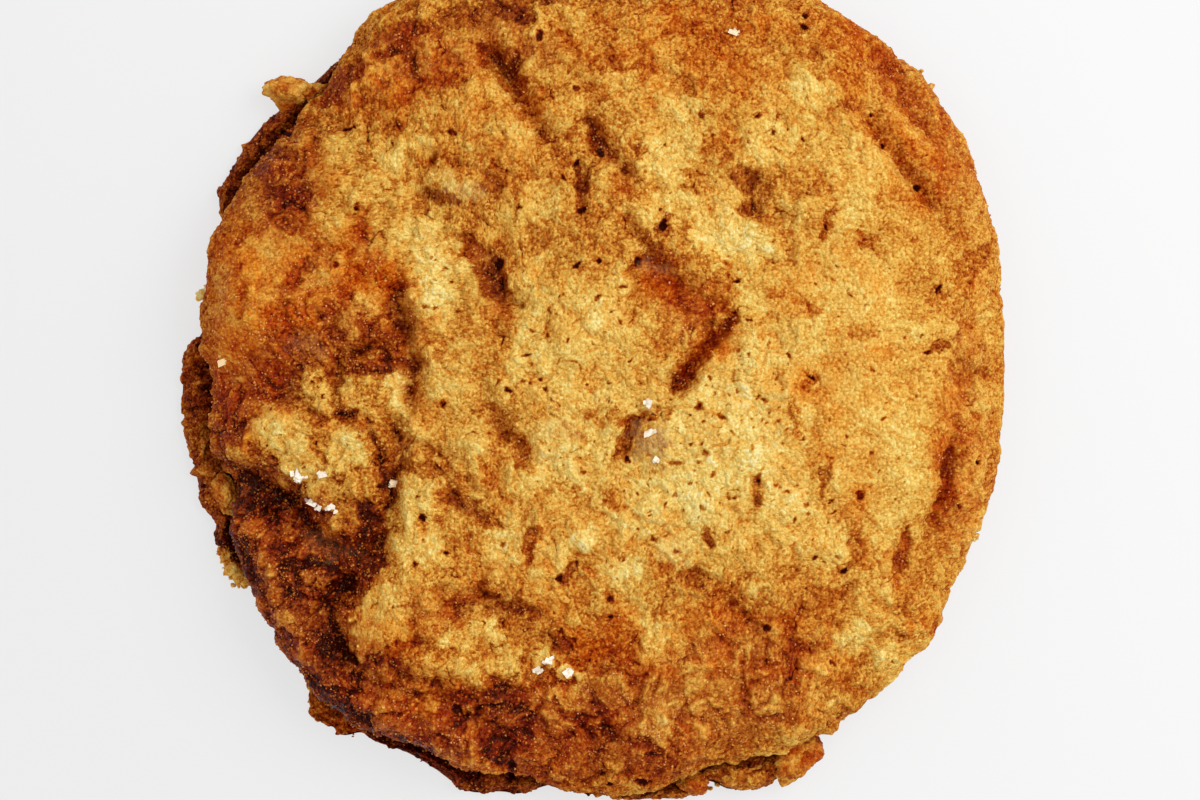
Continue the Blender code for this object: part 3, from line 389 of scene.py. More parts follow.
    (15.6, 26.7, 1.8, 1.4, -30, 0.51, 0.75), (10.5, 13.8, 1.5, 1, -35, 0.56, 0.85),
    (8.6, 26.4, 2.4, 1.4, 0, 0.28, 0.8), (10.4, 23.8, 1.6, 1.6, 0, 0.3, 0.7),
    (13.4, 13.8, 3.4, 2.2, -10, 0.13, 0.9), (16.2, 12.6, 2.2, 1.4, 0, 0.2, 0.8),
    (12.4, 22.2, 1.6, 1.2, 0, 0.58, 0.7), (7.8, 16.8, 2.6, 1.4, 0, 0.26, 0.8),
    (13.2, 18, 1.8, 2.4, 0, 0.26, 0.8), (7.4, 14.4, 0.9, 0.7, 80, 0.7, 0.75),
    (15.6, 19.8, 1.6, 0.9, -15, 0.74, 0.75), (16, 16.3, 1.4, 0.8, -20, 0.68, 0.75),
    (17, 18, 0.7, 1.2, 0, 0.62, 0.6), (19.3, 16.8, 1.4, 1.2, 0, 0.3, 0.7),
    (19.6, 14.4, 2.2, 1.8, 0, 0.38, 0.7), (1.8, 13.2, 2.4, 1.2, -30, 0.5, 0.6),
    # Back right: rim band, grooves and pale swellings
    (22.2, 28.4, 3.2, 1.6, -10, 0.22, 0.85), (18, 23, 2.6, 2.4, 0, 0.28, 0.85),
    (27.6, 21.6, 2.8, 2, 90, 0.24, 0.85), (26.8, 17.4, 2.4, 2, 90, 0.26, 0.8),
    (22.4, 17.4, 2.2, 1.1, -30, 0.42, 0.75), (21.5, 12.8, 1.2, 1.4, 0, 0.42, 0.7),
    (21.4, 32.2, 2.6, 1.2, -30, 0.52, 0.7), (19.6, 35.4, 3, 1.2, -10, 0.46, 0.7),
    (24.6, 31, 2.4, 0.9, -45, 0.48, 0.7), (22, 24, 2.2, 1.7, 0, 0.27, 0.75),
    (18.4, 28.2, 2, 1.7, 0, 0.28, 0.75), (30.4, 31, 3.6, 0.9, -45, 0.64, 0.7),
    (33, 26.6, 3.4, 0.8, -62, 0.62, 0.7), (35.4, 22.6, 2.6, 0.9, -60, 0.54, 0.7),
    (32.2, 24.6, 3, 0.8, -58, 0.32, 0.85), (29.4, 26.8, 2, 1, -50, 0.44, 0.7),
    (31.4, 21.4, 2.8, 0.6, -58, 0.64, 0.7), (34.2, 18, 2.2, 0.9, -55, 0.62, 0.7),
    (31.6, 17.6, 1.8, 1.4, 0, 0.5, 0.7), (29.2, 16.6, 1.8, 0.8, -70, 0.5, 0.6),
    (27.8, 13, 1.8, 0.8, -40, 0.62, 0.7), (21.4, 19.5, 2.6, 1.2, -20, 0.5, 0.7),
    (38.3, 11.2, 2, 1.1, 40, 0.6, 0.75), (31, 13, 4, 2.6, -65, 0.42, 0.7),
    (23.6, 26.2, 2.8, 1.6, -40, 0.33, 0.7), (19.6, 31, 2, 1.4, 0, 0.36, 0.7),
    (25.6, 25, 1.6, 1.6, 0, 0.42, 0.6), (23.4, 15, 1.2, 0.6, 80, 0.64, 0.7),
    # Right: golden field, brown streaks and the groove by the rim
    (27, 7.6, 3, 1.8, 10, 0.24, 0.8), (23.6, 7.8, 1.8, 1.2, 0, 0.3, 0.7),
    (21.8, 6.7, 0.8, 0.7, 0, 0.54, 0.7), (26.6, 4.2, 1.4, 0.9, 0, 0.5, 0.7),
    (16.4, 6.6, 1.8, 1.4, 0, 0.24, 0.8), (17.2, 3, 1.8, 1.6, 0, 0.26, 0.7), (16.6, 9.6, 2, 1, 0, 0.3, 0.7),
    (28.6, -3.4, 2, 1.4, -30, 0.24, 0.8), (31.4, -8.4, 3.6, 2.2, 80, 0.26, 0.85),
    (22.4, -6, 4.6, 0.9, 85, 0.48, 0.75), (23, -10.4, 2.2, 0.9, 80, 0.6, 0.8),
    (25.6, -5.4, 1.6, 2, 0, 0.24, 0.6), (20.1, -4.4, 2, 0.5, 90, 0.6, 0.75),
    (26.6, -13.6, 1.6, 1, -30, 0.44, 0.7), (21.6, -0.8, 1.4, 0.7, 30, 0.62, 0.7),
    (37.4, -4.6, 3.6, 1.4, 80, 0.47, 0.7), (29.6, -13.4, 2.6, 1.8, 0, 0.27, 0.75),
    (16.5, -12.4, 2.6, 0.6, 82, 0.6, 0.7), (35.7, -10.2, 2.6, 0.8, 80, 0.76, 0.8),
    (35.6, -13.2, 2.2, 0.8, 75, 0.62, 0.75), (38.4, 1.6, 2.6, 1.3, 20, 0.53, 0.7),
    (33, 8, 3.4, 2.4, 80, 0.5, 0.75), (30.4, 14, 2, 1.6, 0, 0.48, 0.7), (37.6, 15.8, 1.6, 1.2, 0, 0.56, 0.7),
    (40.8, 0, 6, 0.8, 88, 0.44, 0.7), (39.2, 7.2, 1.1, 3.2, 0, 0.33, 0.75),
    (34.6, 3, 0.9, 0.5, 10, 0.68, 0.7), (36.6, 0.4, 2.2, 1.2, 30, 0.5, 0.7),
    (24.6, 1.4, 2, 1.6, 0, 0.34, 0.6), (31, 1, 2.4, 2, 0, 0.42, 0.6), (37.8, -13.4, 1.6, 1, 70, 0.44, 0.7),
    # Right of the middle: the palest crumb
    (14, -3.4, 3.6, 2.6, -20, 0.14, 0.9), (11, -10.6, 4, 3, 30, 0.14, 0.9),
    (16.6, -7.6, 3.4, 2.4, 80, 0.16, 0.9), (19.4, -13, 2.6, 2, 0, 0.18, 0.85),
    (9.4, -5, 1.6, 2, 0, 0.17, 0.85), (4.6, -13.2, 2, 1.6, -40, 0.22, 0.8),
    (14.6, 0.6, 2, 1.2, 30, 0.22, 0.8), (17.4, -2, 2.2, 1.4, 0, 0.18, 0.8),
    (14.6, -14.6, 2.6, 1.6, 0, 0.22, 0.8),
)

# Caramel that soaked in and shines: x, y, half length, half width, turn, shine
CARAMEL = (
    (-30, 18, 6, 3.5, 70, 0.7), (-33, 0, 6, 4, 60, 0.8), (-22, 4, 7, 4, 0, 0.7), (-18.5, 0, 9, 1.4, 90, 0.8),
    (-31, -14, 7, 4, -30, 1), (-27, -24, 10, 4.5, -60, 1), (-20, -33, 7, 3, -25, 0.9),
    (-8, -35, 8, 4, 0, 0.9), (4, -34, 9, 5, 0, 0.8), (15, -30, 8, 6, 0, 0.6), (-17, 31, 6, 3, 10, 0.6),
    (-28, 9, 4, 3, 90, 0.6), (11, 5, 5, 3, -60, 0.6), (-9.5, 9, 3, 1.6, 90, 0.5),
    (34, 24, 12, 2.5, -60, 0.4), (37, -6, 12, 2.6, 88, 0.5), (-8, 33, 5, 3, -20, 0.5),
    (-34, 6, 7, 3, 90, 0.5), (-13, -22.5, 6, 1.5, 0, 0.4), (-22, 12, 2.5, 1.5, 90, 0.6),
)

# Amber zones are more orange than their tone: x, y, half length, half width, turn, amount
AMBER = (
    (-34, 6, 11, 5, 92, 1), (-28.5, 9, 5, 4, 90, 1), (-23, 10, 5, 4, 0, 1), (-22.6, 13, 3, 1.5, 100, 0.9),
    (-30, 15, 9, 4, 70, 0.7), (-31, -16, 6, 3, -10, 0.8), (-20, -25, 6, 5, 0, 0.6),
    (-18, -33, 7, 4, -20, 0.8), (-4, -36, 16, 5, 0, 0.7), (3, -28, 8, 4, 0, 0.7), (-10, 25, 7, 6, 0, 0.4),
    (9, 8, 5, 3, -30, 0.7), (12, 3, 4, 2, 50, 0.8), (21.8, 6.7, 1.5, 1.2, 0, 0.6),
    (33.6, -24.7, 2, 1.2, 30, 0.9), (31.2, -17.6, 3, 1.4, 80, 0.7), (-18, 30, 9, 4, 20, 0.7),
    (10, 32, 14, 5, 0, 0.5), (30, 28, 14, 4, -50, 0.6), (16, -28, 10, 6, 0, 0.6),
    (-27, -27, 10, 5, -55, 0.4), (24, -2, 16, 7, 88, 0.35), (36.5, -8, 9, 2.5, 88, 0.8),
    (-34, -2, 6, 4, 60, 0.8), (-24, 4, 8, 3, 0, 0.5), (-25.5, -35.2, 4, 1.8, -35, 1),
    (-8, -20, 10, 4, 0, 0.3), (30.5, 21, 8, 2, -58, 0.7),
)

# Clear and milky places are greyer than their tone: x, y, half length, half width, turn, amount
ASH = (
    (6.2, -6.6, 1.6, 1.8, 10, 0.95), (7, -8, 1, 0.8, 0, 0.7), (-12.4, 18.4, 1.6, 1.4, 0, 0.55),
    (-2.9, -5.4, 1.8, 1.1, 0, 0.35), (7, 10.4, 1.4, 0.8, 0, 0.4), (-26.4, -17, 2.4, 1.4, -10, 0.18),
    (8.2, -17.4, 1.8, 1.8, 0, 0.25), (-28, 2.8, 1.3, 1.1, 0, 0.25),
)

# Zones where the crust stayed smooth: x, y, half length, half width, turn, amount
SMOOTH = (
    (29, 2, 20, 7.5, 88, 0.8), (19.5, 7.5, 4, 2.5, 0, 0.8), (33, 22, 14, 4, -58, 0.7),
    (-34.5, 7, 9, 3.5, 88, 0.9), (-31, 12, 4, 3, 0, 0.85), (35, -14, 9, 4, 65, 0.6),
    (-21, -26.5, 3, 2, 0, 0.6), (22, -10, 6, 4, 0, 0.4), (-34, 17, 4, 1.6, 62, 0.8),
)

# Pores that show one by one: x, y, half length, half width, turn
PORES = (
    (-23, 16.6, 0.45, 0.25, 60), (-30.4, 24.2, 0.4, 0.22, 20), (-24, 24.4, 0.8, 0.12, 5),
    (-13.6, 24, 0.5, 0.25, -40), (-5, 33.6, 0.6, 0.3, 80), (-1.3, 28.3, 0.3, 0.25, 0),
    (11, 25.7, 0.4, 0.33, 0), (1, 22.1, 0.45, 0.3, -50), (7.4, 22.8, 0.2, 0.16, 0),
    (-1.3, 21, 0.35, 0.2, 60), (-2.6, 19.5, 0.4, 0.1, -50), (-0.8, 16.2, 0.5, 0.25, 30),
    (-7, 16.5, 0.35, 0.14, -20), (7.2, 14.8, 0.65, 0.32, 85), (0.9, 11.2, 0.25, 0.2, 0),
    (-1.3, 10.8, 0.5, 0.22, 35), (4.7, 11.2, 0.45, 0.25, 80), (0.7, 7.6, 0.4, 0.2, 30),
    (3.3, 8.7, 0.45, 0.12, 10), (-4, 6.3, 0.25, 0.14, -50), (-8.1, -1.5, 0.5, 0.22, -35),
    (-4.9, -0.5, 0.2, 0.1, -50), (-4.4, -1.4, 0.25, 0.15, -50), (-6.3, 1.9, 0.5, 0.08, 5),
    (-2.1, 3.4, 0.25, 0.1, 40), (-14.5, -2.9, 0.38, 0.3, 0), (-16.2, 6.7, 0.4, 0.12, -15),
    (-16.5, -14, 0.4, 0.35, 0), (6.2, -4.4, 0.4, 0.16, -10), (3.7, -8.4, 0.3, 0.18, -40),
    (10.8, -3.1, 0.5, 0.3, 60), (13, -4.1, 0.55, 0.14, -35), (11.8, -0.4, 0.4, 0.1, -75),
    (12.3, -1.8, 0.2, 0.1, 20), (11.4, -7.7, 0.5, 0.3, -40), (8.3, -8.7, 0.7, 0.2, -5),
    (12.1, -9.8, 0.3, 0.14, 85), (14.6, -1.6, 0.2, 0.16, 0), (14, -5.6, 0.3, 0.1, -60),
    (6.3, -16.2, 0.4, 0.2, -20), (8.5, -17.5, 0.42, 0.2, 0), (-3, -20.1, 0.4, 0.22, 30),
    (2, -22.1, 0.4, 0.4, 0), (2.1, -24, 0.22, 0.1, 60), (26.7, -11.9, 0.5, 0.38, -40),
    (16, -7.1, 0.3, 0.22, 0), (17.2, -2.5, 0.4, 0.14, -30), (16.6, -2.2, 0.2, 0.14, 0),
    (19.7, 1.9, 0.4, 0.1, -70), (21.8, -0.3, 0.5, 0.1, -20), (15.6, 5.4, 0.5, 0.1, -10),
    (14.6, 9.3, 0.4, 0.1, 20), (34.6, 8.5, 0.4, 0.25, 60), (33.4, 2.2, 0.45, 0.22, 0),
    (38.6, -8.7, 0.3, 0.22, 30), (36.8, -13.1, 0.2, 0.28, 0), (33, 18.8, 0.3, 0.2, 60),
    (29.4, 22.9, 0.14, 0.14, 0), (33.3, 21.8, 0.2, 0.1, 20), (28.2, 26.1, 0.14, 0.14, 0),
    (18.2, 24, 0.35, 0.14, -70), (16.6, 25.5, 0.4, 0.1, 30), (23.4, 14.7, 0.35, 0.12, -70),
    (21.5, 35.8, 0.3, 0.14, 20), (21.3, 34.7, 0.6, 0.1, -15), (24.2, -28.7, 0.4, 0.1, -20),
    (22.3, -18.2, 0.35, 0.2, 60), (25.3, -19.5, 0.4, 0.2, 30), (17.6, -25.1, 0.4, 0.3, -20),
    (-13.2, -33.2, 0.5, 0.35, 0), (1.8, -41.2, 0.5, 0.2, 0), (5.4, -41, 0.9, 0.3, 0),
    (-7.8, -39.3, 0.35, 0.9, 0), (-26.2, -2.1, 0.25, 0.08, 60), (-27.1, -0.8, 0.12, 0.06, 0),
    (-26.9, -6.6, 0.1, 0.06, 0), (-15.4, 6.6, 0.4, 0.1, -10), (-8.9, 11, 0.5, 0.4, 30),
    (-25, 10.8, 0.3, 0.3, 0), (-17.2, -18.6, 0.3, 0.16, -20), (-14.2, -17.6, 0.2, 0.12, 0),
    (11.2, -4.6, 0.14, 0.14, 0), (10, -6.9, 0.16, 0.12, 0), (11, -13.1, 0.3, 0.07, -60),
    (13.6, -12, 0.4, 0.07, -70), (7.4, -12.8, 0.16, 0.14, 0), (8.4, -11.9, 0.25, 0.14, 0),
    (5.9, -13.9, 0.16, 0.12, 0), (14.2, -12.2, 0.16, 0.1, 0), (15, -9.5, 0.14, 0.1, 0),
    (18.3, -10.9, 0.3, 0.12, 40), (19.4, -11.6, 0.3, 0.16, 10), (20.2, -14.4, 0.4, 0.14, 80),
    (21.4, -12.9, 0.3, 0.2, 20), (23.8, -12.6, 0.3, 0.1, 60),
)

# Flakes of sea salt: x, y, length, width, thickness, turn, share of cream in their white
SALT = (
    (-28.8, -10, 1.7, 1.1, 0.7, 60, 0), (-26.4, -9.9, 1, 0.8, 0.6, 20, 0.3),
    (-27.6, -12.7, 1.3, 0.9, 0.6, -30, 0.1), (-25.7, -13.1, 1.1, 0.7, 0.5, 40, 0.1),
    (-26.9, -13.2, 0.8, 0.6, 0.4, 70, 0.2), (-28.1, -12.4, 0.7, 0.5, 0.4, 0, 0.1),
    (-25.2, -13.6, 0.6, 0.5, 0.4, 10, 0.4), (-19.4, -10.8, 1.1, 0.8, 0.6, 10, 0.6),
    (5.8, -2.8, 1, 0.8, 0.7, 85, 0.2), (5.9, -5.8, 1.1, 0.8, 0.6, 30, 0.3),
    (6.6, -8.3, 1, 0.7, 0.5, -40, 0.4), (-4.1, -28.3, 1.1, 0.8, 0.6, -10, 0.1),
    (-5.3, -29.2, 1.2, 0.7, 0.5, 25, 0.3), (-2.2, -29.5, 1.1, 1, 0.7, 40, 0.1),
    (14.2, 34, 1.5, 0.6, 0.6, -25, 0.6), (-36.7, 1.2, 1, 0.9, 0.8, 15, 0.9),
)

# Lumps of crumb stuck to the foot: x, y, z of the middle, three half sizes, turn, tone
CRUMB_LUMPS = (
    (-30.4, 28.3, 2.1, 2.2, 1.6, 1.5, -12, 0.52), (-27.6, 28.3, 2.3, 1.2, 1, 1, 30, 0.66),
    (-36.5, -12.1, 2.2, 1.2, 1.8, 1.1, 20, 0.6), (20.3, -38.6, 2.4, 2.6, 1.7, 1.8, 40, 0.62),
    (15.6, -40.4, 2, 2.6, 1.3, 1.5, 8, 0.68), (10.2, -41, 1.9, 1.6, 1.2, 1.4, -15, 0.66),
)

# Tone of the side and the foot at each bearing: their browning, with painted shade on the left and front,
# away from the light and under the crust's rim
SIDE_TONE_AND_SHADE = {
    0: 0.48, 60: 0.58, 100: 0.6, 122: 0.68, 130: 0.74, 142: 0.66, 152: 0.68, 158: 0.56, 170: 0.56, 175: 0.62,
    184: 0.66, 190: 0.62, 195: 0.62, 200: 0.64, 203: 0.84, 212: 0.8, 222: 0.72, 229: 0.6, 236: 0.56,
    240: 0.82, 248: 0.8, 258: 0.72, 263: 0.66, 270: 0.62, 284: 0.62, 300: 0.54, 306: 0.52, 330: 0.46,
}

# Ragged crumb along the outline: two bearings, distance past the crust's edge, height, count, size, tone
FRINGES = (
    (203, 211, 1.1, 0.6, 170, 0.5, 0.46), (205, 210.6, 1.6, 0.4, 60, 0.42, 0.42),
    (166.5, 169, -0.1, 1.2, 9, 0.5, 0.25), (229, 237, 1.6, 0.5, 26, 0.3, 0.62),
    (249, 262, 1.5, 0.8, 34, 0.26, 0.8), (284, 299, 2.3, 1.4, 40, 0.34, 0.45),
    (305, 345, -1.1, 2.6, 40, 0.2, 0.5), (345, 385, -1.2, 3, 24, 0.18, 0.55),
    (385, 480, -1.4, 3, 40, 0.18, 0.55),
)

# Small crumbs that stick out at the outline: x, y, z, half size, tone
EDGE_CRUMBS = (
    (-38.9, 8.2, 1.4, 0.65, 0.2), (-38.6, 7.2, 1.2, 0.45, 0.25), (-39.2, 7.8, 0.9, 0.4, 0.22),
    (-36.5, -18.2, 0.8, 0.8, 0.5), (-36, -19.4, 0.7, 0.9, 0.42), (-35.4, -20.3, 0.7, 0.8, 0.45),
    (-34.7, -20.8, 0.6, 0.6, 0.5), (-36.9, -17.6, 0.8, 0.6, 0.6), (33.1, 30.4, 3.4, 0.3, 0.5),
    (34.1, 28.8, 3.4, 0.4, 0.4), (39.9, -11.7, 3.2, 0.5, 0.5), (38.6, -16.3, 3, 0.4, 0.35),
    (34.5, -24.7, 3.6, 0.9, 0.6), (25.9, -33.7, 2.6, 0.45, 0.45), (38.4, 18.3, 3.6, 0.3, 0.45),
)


class Colour(Enum):
    """Colours of the cookie, its salt and the card under it, as sRGB hex values."""

    BURNT = "#340903"
    DARK_CARAMEL = "#702106"
    CARAMEL = "#943d0a"
    BROWN = "#bd691d"
    TAN = "#db9c3c"
    GOLDEN = "#ecbd5a"
    PALE = "#f5d87c"
    PALEST = "#fceba8"
    AMBER_BURNT = "#420a01"
    AMBER_DARK = "#8c1c01"
    AMBER = "#bb4a06"
    AMBER_BRIGHT = "#e08722"
    AMBER_PALE = "#f5ba4a"
    MILKY = "#bf9a66"
    SALT_SHADE = "#cdbb9c"
    SALT_WHITE = "#fdf6ea"
    SALT_CREAM = "#f6d69a"
    SUGAR = "#e09454"
    GLINT = "#ffd0a0"
    CARD = "#7c7c7c"
    # Painted glow of the card, from its left to its brighter right, where the key light falls
    CARD_LEFT = "#d2d2d2"
    CARD_RIGHT = "#dedede"


def linear(colour: Colour) -> tuple[float, float, float, float]:
    """Linear colour of an sRGB hex value.

    Args:
        colour: The colour to turn.

    Returns:
        Red, green, blue and alpha for a shader socket.
    """
    digits = colour.value.lstrip("#")
    parts = [int(digits[place : place + 2], 16) / 255 for place in (0, 2, 4)]
    lit = [part / 12.92 if part <= 0.04045 else ((part + 0.055) / 1.055) ** 2.4 for part in parts]
    return (lit[0], lit[1], lit[2], 1.0)


def smooth_step(low: float, high: float, value: Array) -> Array:
    """Cubic step: 0 below low, 1 above high, and 3t^2 - 2t^3 of the share t between them."""
    share = np.clip((value - low) / (high - low), 0.0, 1.0)
    return share * share * (3.0 - 2.0 * share)


def around(table: dict[float, float], bearings: Array, smoothing: float = 1.6) -> Array:
    """Value of a {bearing: value} table at each bearing, averaged with a bell-shaped weight.

    Args:
        table: Values by bearing in degrees.
        bearings: The bearings to read, in degrees.
        smoothing: The bell's spread, in degrees.

    Returns:
        One value for each bearing.
    """
    steps = np.linspace(-3.0, 3.0, 13)
    weights = np.exp(-0.5 * steps**2)
    places = sorted(table)
    values = [table[place] for place in places]
    total = np.zeros(np.shape(bearings))
    for step, weight in zip(steps, weights):
        total = total + weight * np.interp(bearings + step * smoothing, places, values, period=360)
    return total / weights.sum()


def block_noise(points: Array, size: float, seed: int) -> Array:
    """Smooth noise from -1 to 1: random values on a cubic lattice, blended between its corners.

    Args:
        points: Places as rows of x, y and z.
        size: Spacing of the lattice.
        seed: Seed of the lattice's values.

    Returns:
        One value for each place.
    """
    count = 48
    lattice = np.random.default_rng(seed).uniform(-1.0, 1.0, (count,) * 3)
    scaled = points / size + 1000.0
    cell = np.floor(scaled).astype(int)
    part = scaled - cell
    part = part * part * (3.0 - 2.0 * part)
    total = np.zeros(len(scaled))
    for corner in np.ndindex(2, 2, 2):
        index = (cell + corner) % count
        share = np.prod(np.where(np.array(corner) == 1, part, 1.0 - part), axis=1)
        total += share * lattice[index[:, 0], index[:, 1], index[:, 2]]
    return total


def sheet_noise(p: Array, q: Array, size: float, seed: int) -> Array:
    """Smooth noise from about -1 to 1 over a sheet: slopes of random direction on a square lattice.

    Each lattice corner adds the place's offset along its own direction, blended by a quintic step.

    Args:
        p: First sheet coordinate.
        q: Second sheet coordinate.
        size: Spacing of the lattice.
        seed: Seed of the directions.

    Returns:
        One value for each place.
    """
    angle = np.random.default_rng(seed).uniform(0.0, 2 * math.pi, (SHEET_CELLS, SHEET_CELLS))
    slope_p, slope_q = np.cos(angle), np.sin(angle)
    a, b = p / size + SHEET_START, q / size + SHEET_START
    i, j = np.floor(a).astype(int), np.floor(b).astype(int)
    a, b = a - i, b - j
    fade_a, fade_b = (t * t * t * (t * (6.0 * t - 15.0) + 10.0) for t in (a, b))
    total = np.zeros(p.shape)
    for di, dj in ((0, 0), (1, 0), (0, 1), (1, 1)):
        row, column = (i + di) % SHEET_CELLS, (j + dj) % SHEET_CELLS
        ramp = slope_p[row, column] * (a - di) + slope_q[row, column] * (b - dj)
        share = (fade_a if di else 1.0 - fade_a) * (fade_b if dj else 1.0 - fade_b)
        total += share * ramp
    return 1.5 * total


def stirred(x: Array, y: Array, layers: Layers) -> tuple[Array, Array]:
    """Places pushed about by layers of noise, so that what is drawn at them loses its straight edges.

    Args:
        x: First coordinate of each place.
        y: Second coordinate of each place.
        layers: How far each layer pushes, its size, and its seeds for x and for y.

    Returns:
        The pushed coordinates.
    """
    pushed_x, pushed_y = x, y
    for reach, size, seed_x, seed_y in layers:
        pushed_x = pushed_x + reach * sheet_noise(x, y, size, seed_x)
        pushed_y = pushed_y + reach * sheet_noise(x, y, size, seed_y)
    return pushed_x, pushed_y


def cell_noise(p: Array, q: Array, size: float, seed: int) -> tuple[Array, Array, Array]:
    """Grains over a sheet: one jittered seed point in each square, and what is nearest to each place.

    Args:
        p: First sheet coordinate.
        q: Second sheet coordinate.
        size: Mean spacing of the grains.
        seed: Seed of the grains' places and values.

    Returns:
        Distance to the nearest grain and to the next one, both as shares of size, and the nearest
        grain's own random value from 0 to 1.
    """
    rng = np.random.default_rng(seed)
    jitter = rng.uniform(0.08, 0.92, (2, SHEET_CELLS, SHEET_CELLS))
    value = rng.uniform(0.0, 1.0, (SHEET_CELLS, SHEET_CELLS))
    a, b = p / size + SHEET_START, q / size + SHEET_START
    i, j = np.floor(a).astype(int), np.floor(b).astype(int)
    nearest, second = np.full(p.shape, 9.0), np.full(p.shape, 9.0)
    own = np.zeros(p.shape)
    for di in (-1, 0, 1):
        for dj in (-1, 0, 1):
            row, column = (i + di) % SHEET_CELLS, (j + dj) % SHEET_CELLS
            gap_a = i + di + jitter[0, row, column] - a
            gap_b = j + dj + jitter[1, row, column] - b
            gap = np.sqrt(gap_a * gap_a + gap_b * gap_b)
            closer = gap < nearest
            second = np.where(closer, nearest, np.minimum(second, gap))
            own = np.where(closer, value[row, column], own)
            nearest = np.where(closer, gap, nearest)
    return nearest, second, own


def distance_to_route(x: Array, y: Array, route: list[tuple[float, float]]) -> tuple[Array, Array]:
    """Distance of each place from a route of straight runs.

    Args:
        x: First coordinate of each place.
        y: Second coordinate of each place.
        route: Corners of the route.

    Returns:
        The distance, and how far along the route its nearest point is, from 0 to 1.
    """
    corners = np.array(route)
    runs = np.linalg.norm(np.diff(corners, axis=0), axis=1)
    walked = np.concatenate([[0.0], np.cumsum(runs)])
    nearest = np.full(x.shape, np.inf)
    along = np.zeros(x.shape)
    for start, end, run, before in zip(corners[:-1], corners[1:], runs, walked):
        step = (end - start) / run
        place = np.clip((x - start[0]) * step[0] + (y - start[1]) * step[1], 0.0, run)
        gap = np.hypot(x - start[0] - place * step[0], y - start[1] - place * step[1])
        closer = gap < nearest
        nearest = np.where(closer, gap, nearest)
        along = np.where(closer, (before + place) / walked[-1], along)
    return nearest, along


def oval(x: Array, y: Array, shape: tuple[float, ...], push: Array | float = 0.0) -> Array:
    """Distance from an oval's middle, as a share of its radius in that direction.

    Args:
        x: First coordinate of each place.
        y: Second coordinate of each place.
        shape: The oval's x, y, half length, half width and turn.
        push: How far its outline is drawn in at each place, in millimetres.

    Returns:
        0 at the middle and 1 on the oval.
    """
    middle_x, middle_y, length, width, turn = shape[:5]
    cos, sin = math.cos(math.radians(turn)), math.sin(math.radians(turn))
    along = ((x - middle_x) * cos + (y - middle_y) * sin) / length
    across = ((y - middle_y) * cos - (x - middle_x) * sin) / width
    return np.sqrt(along * along + across * across) + push / math.sqrt(length * width)


@dataclass(frozen=True)
class DiscGrid:
    """A square grid wrapped onto a disc, so that all its cells stay about the same size."""

    cells: int

    def polar(self) -> tuple[Array, Array]:
        """Radius and bearing of each grid point.

        The larger of the two square coordinates, from -1 to 1, is the radius, and the smaller over
        the larger, times 45 degrees, is the bearing within that side's quarter.

        Returns:
            Radius from 0 to 1 and bearing in degrees, as square arrays.
        """
        line = np.linspace(-1.0, 1.0, self.cells + 1)
        a, b = np.meshgrid(line, line)
        wide = np.abs(a) >= np.abs(b)
        radius = np.where(wide, a, b)
        safe = np.where(radius == 0.0, 1.0, radius)
        turn = np.where(wide, 45.0 * b / safe, 90.0 - 45.0 * a / safe)
        turn = np.where(radius < 0.0, turn + 180.0, turn)
        return np.abs(radius), turn % 360.0

    def faces(self, rows: slice, columns: slice) -> tuple[Array, Array]:
        """Quads of one block of cells, and the grid points that they use.

        Args:
            rows: Rows of points in the block.
            columns: Columns of points in the block.

        Returns:
            The block's grid points, and quads that index into them.
        """
        names = np.arange((self.cells + 1) ** 2).reshape(self.cells + 1, -1)[rows, columns]
        local = np.arange(names.size).reshape(names.shape)
        quads = np.stack([local[:-1, :-1], local[:-1, 1:], local[1:, 1:], local[1:, :-1]], axis=-1)
        return names.ravel(), quads.reshape(-1, 4)


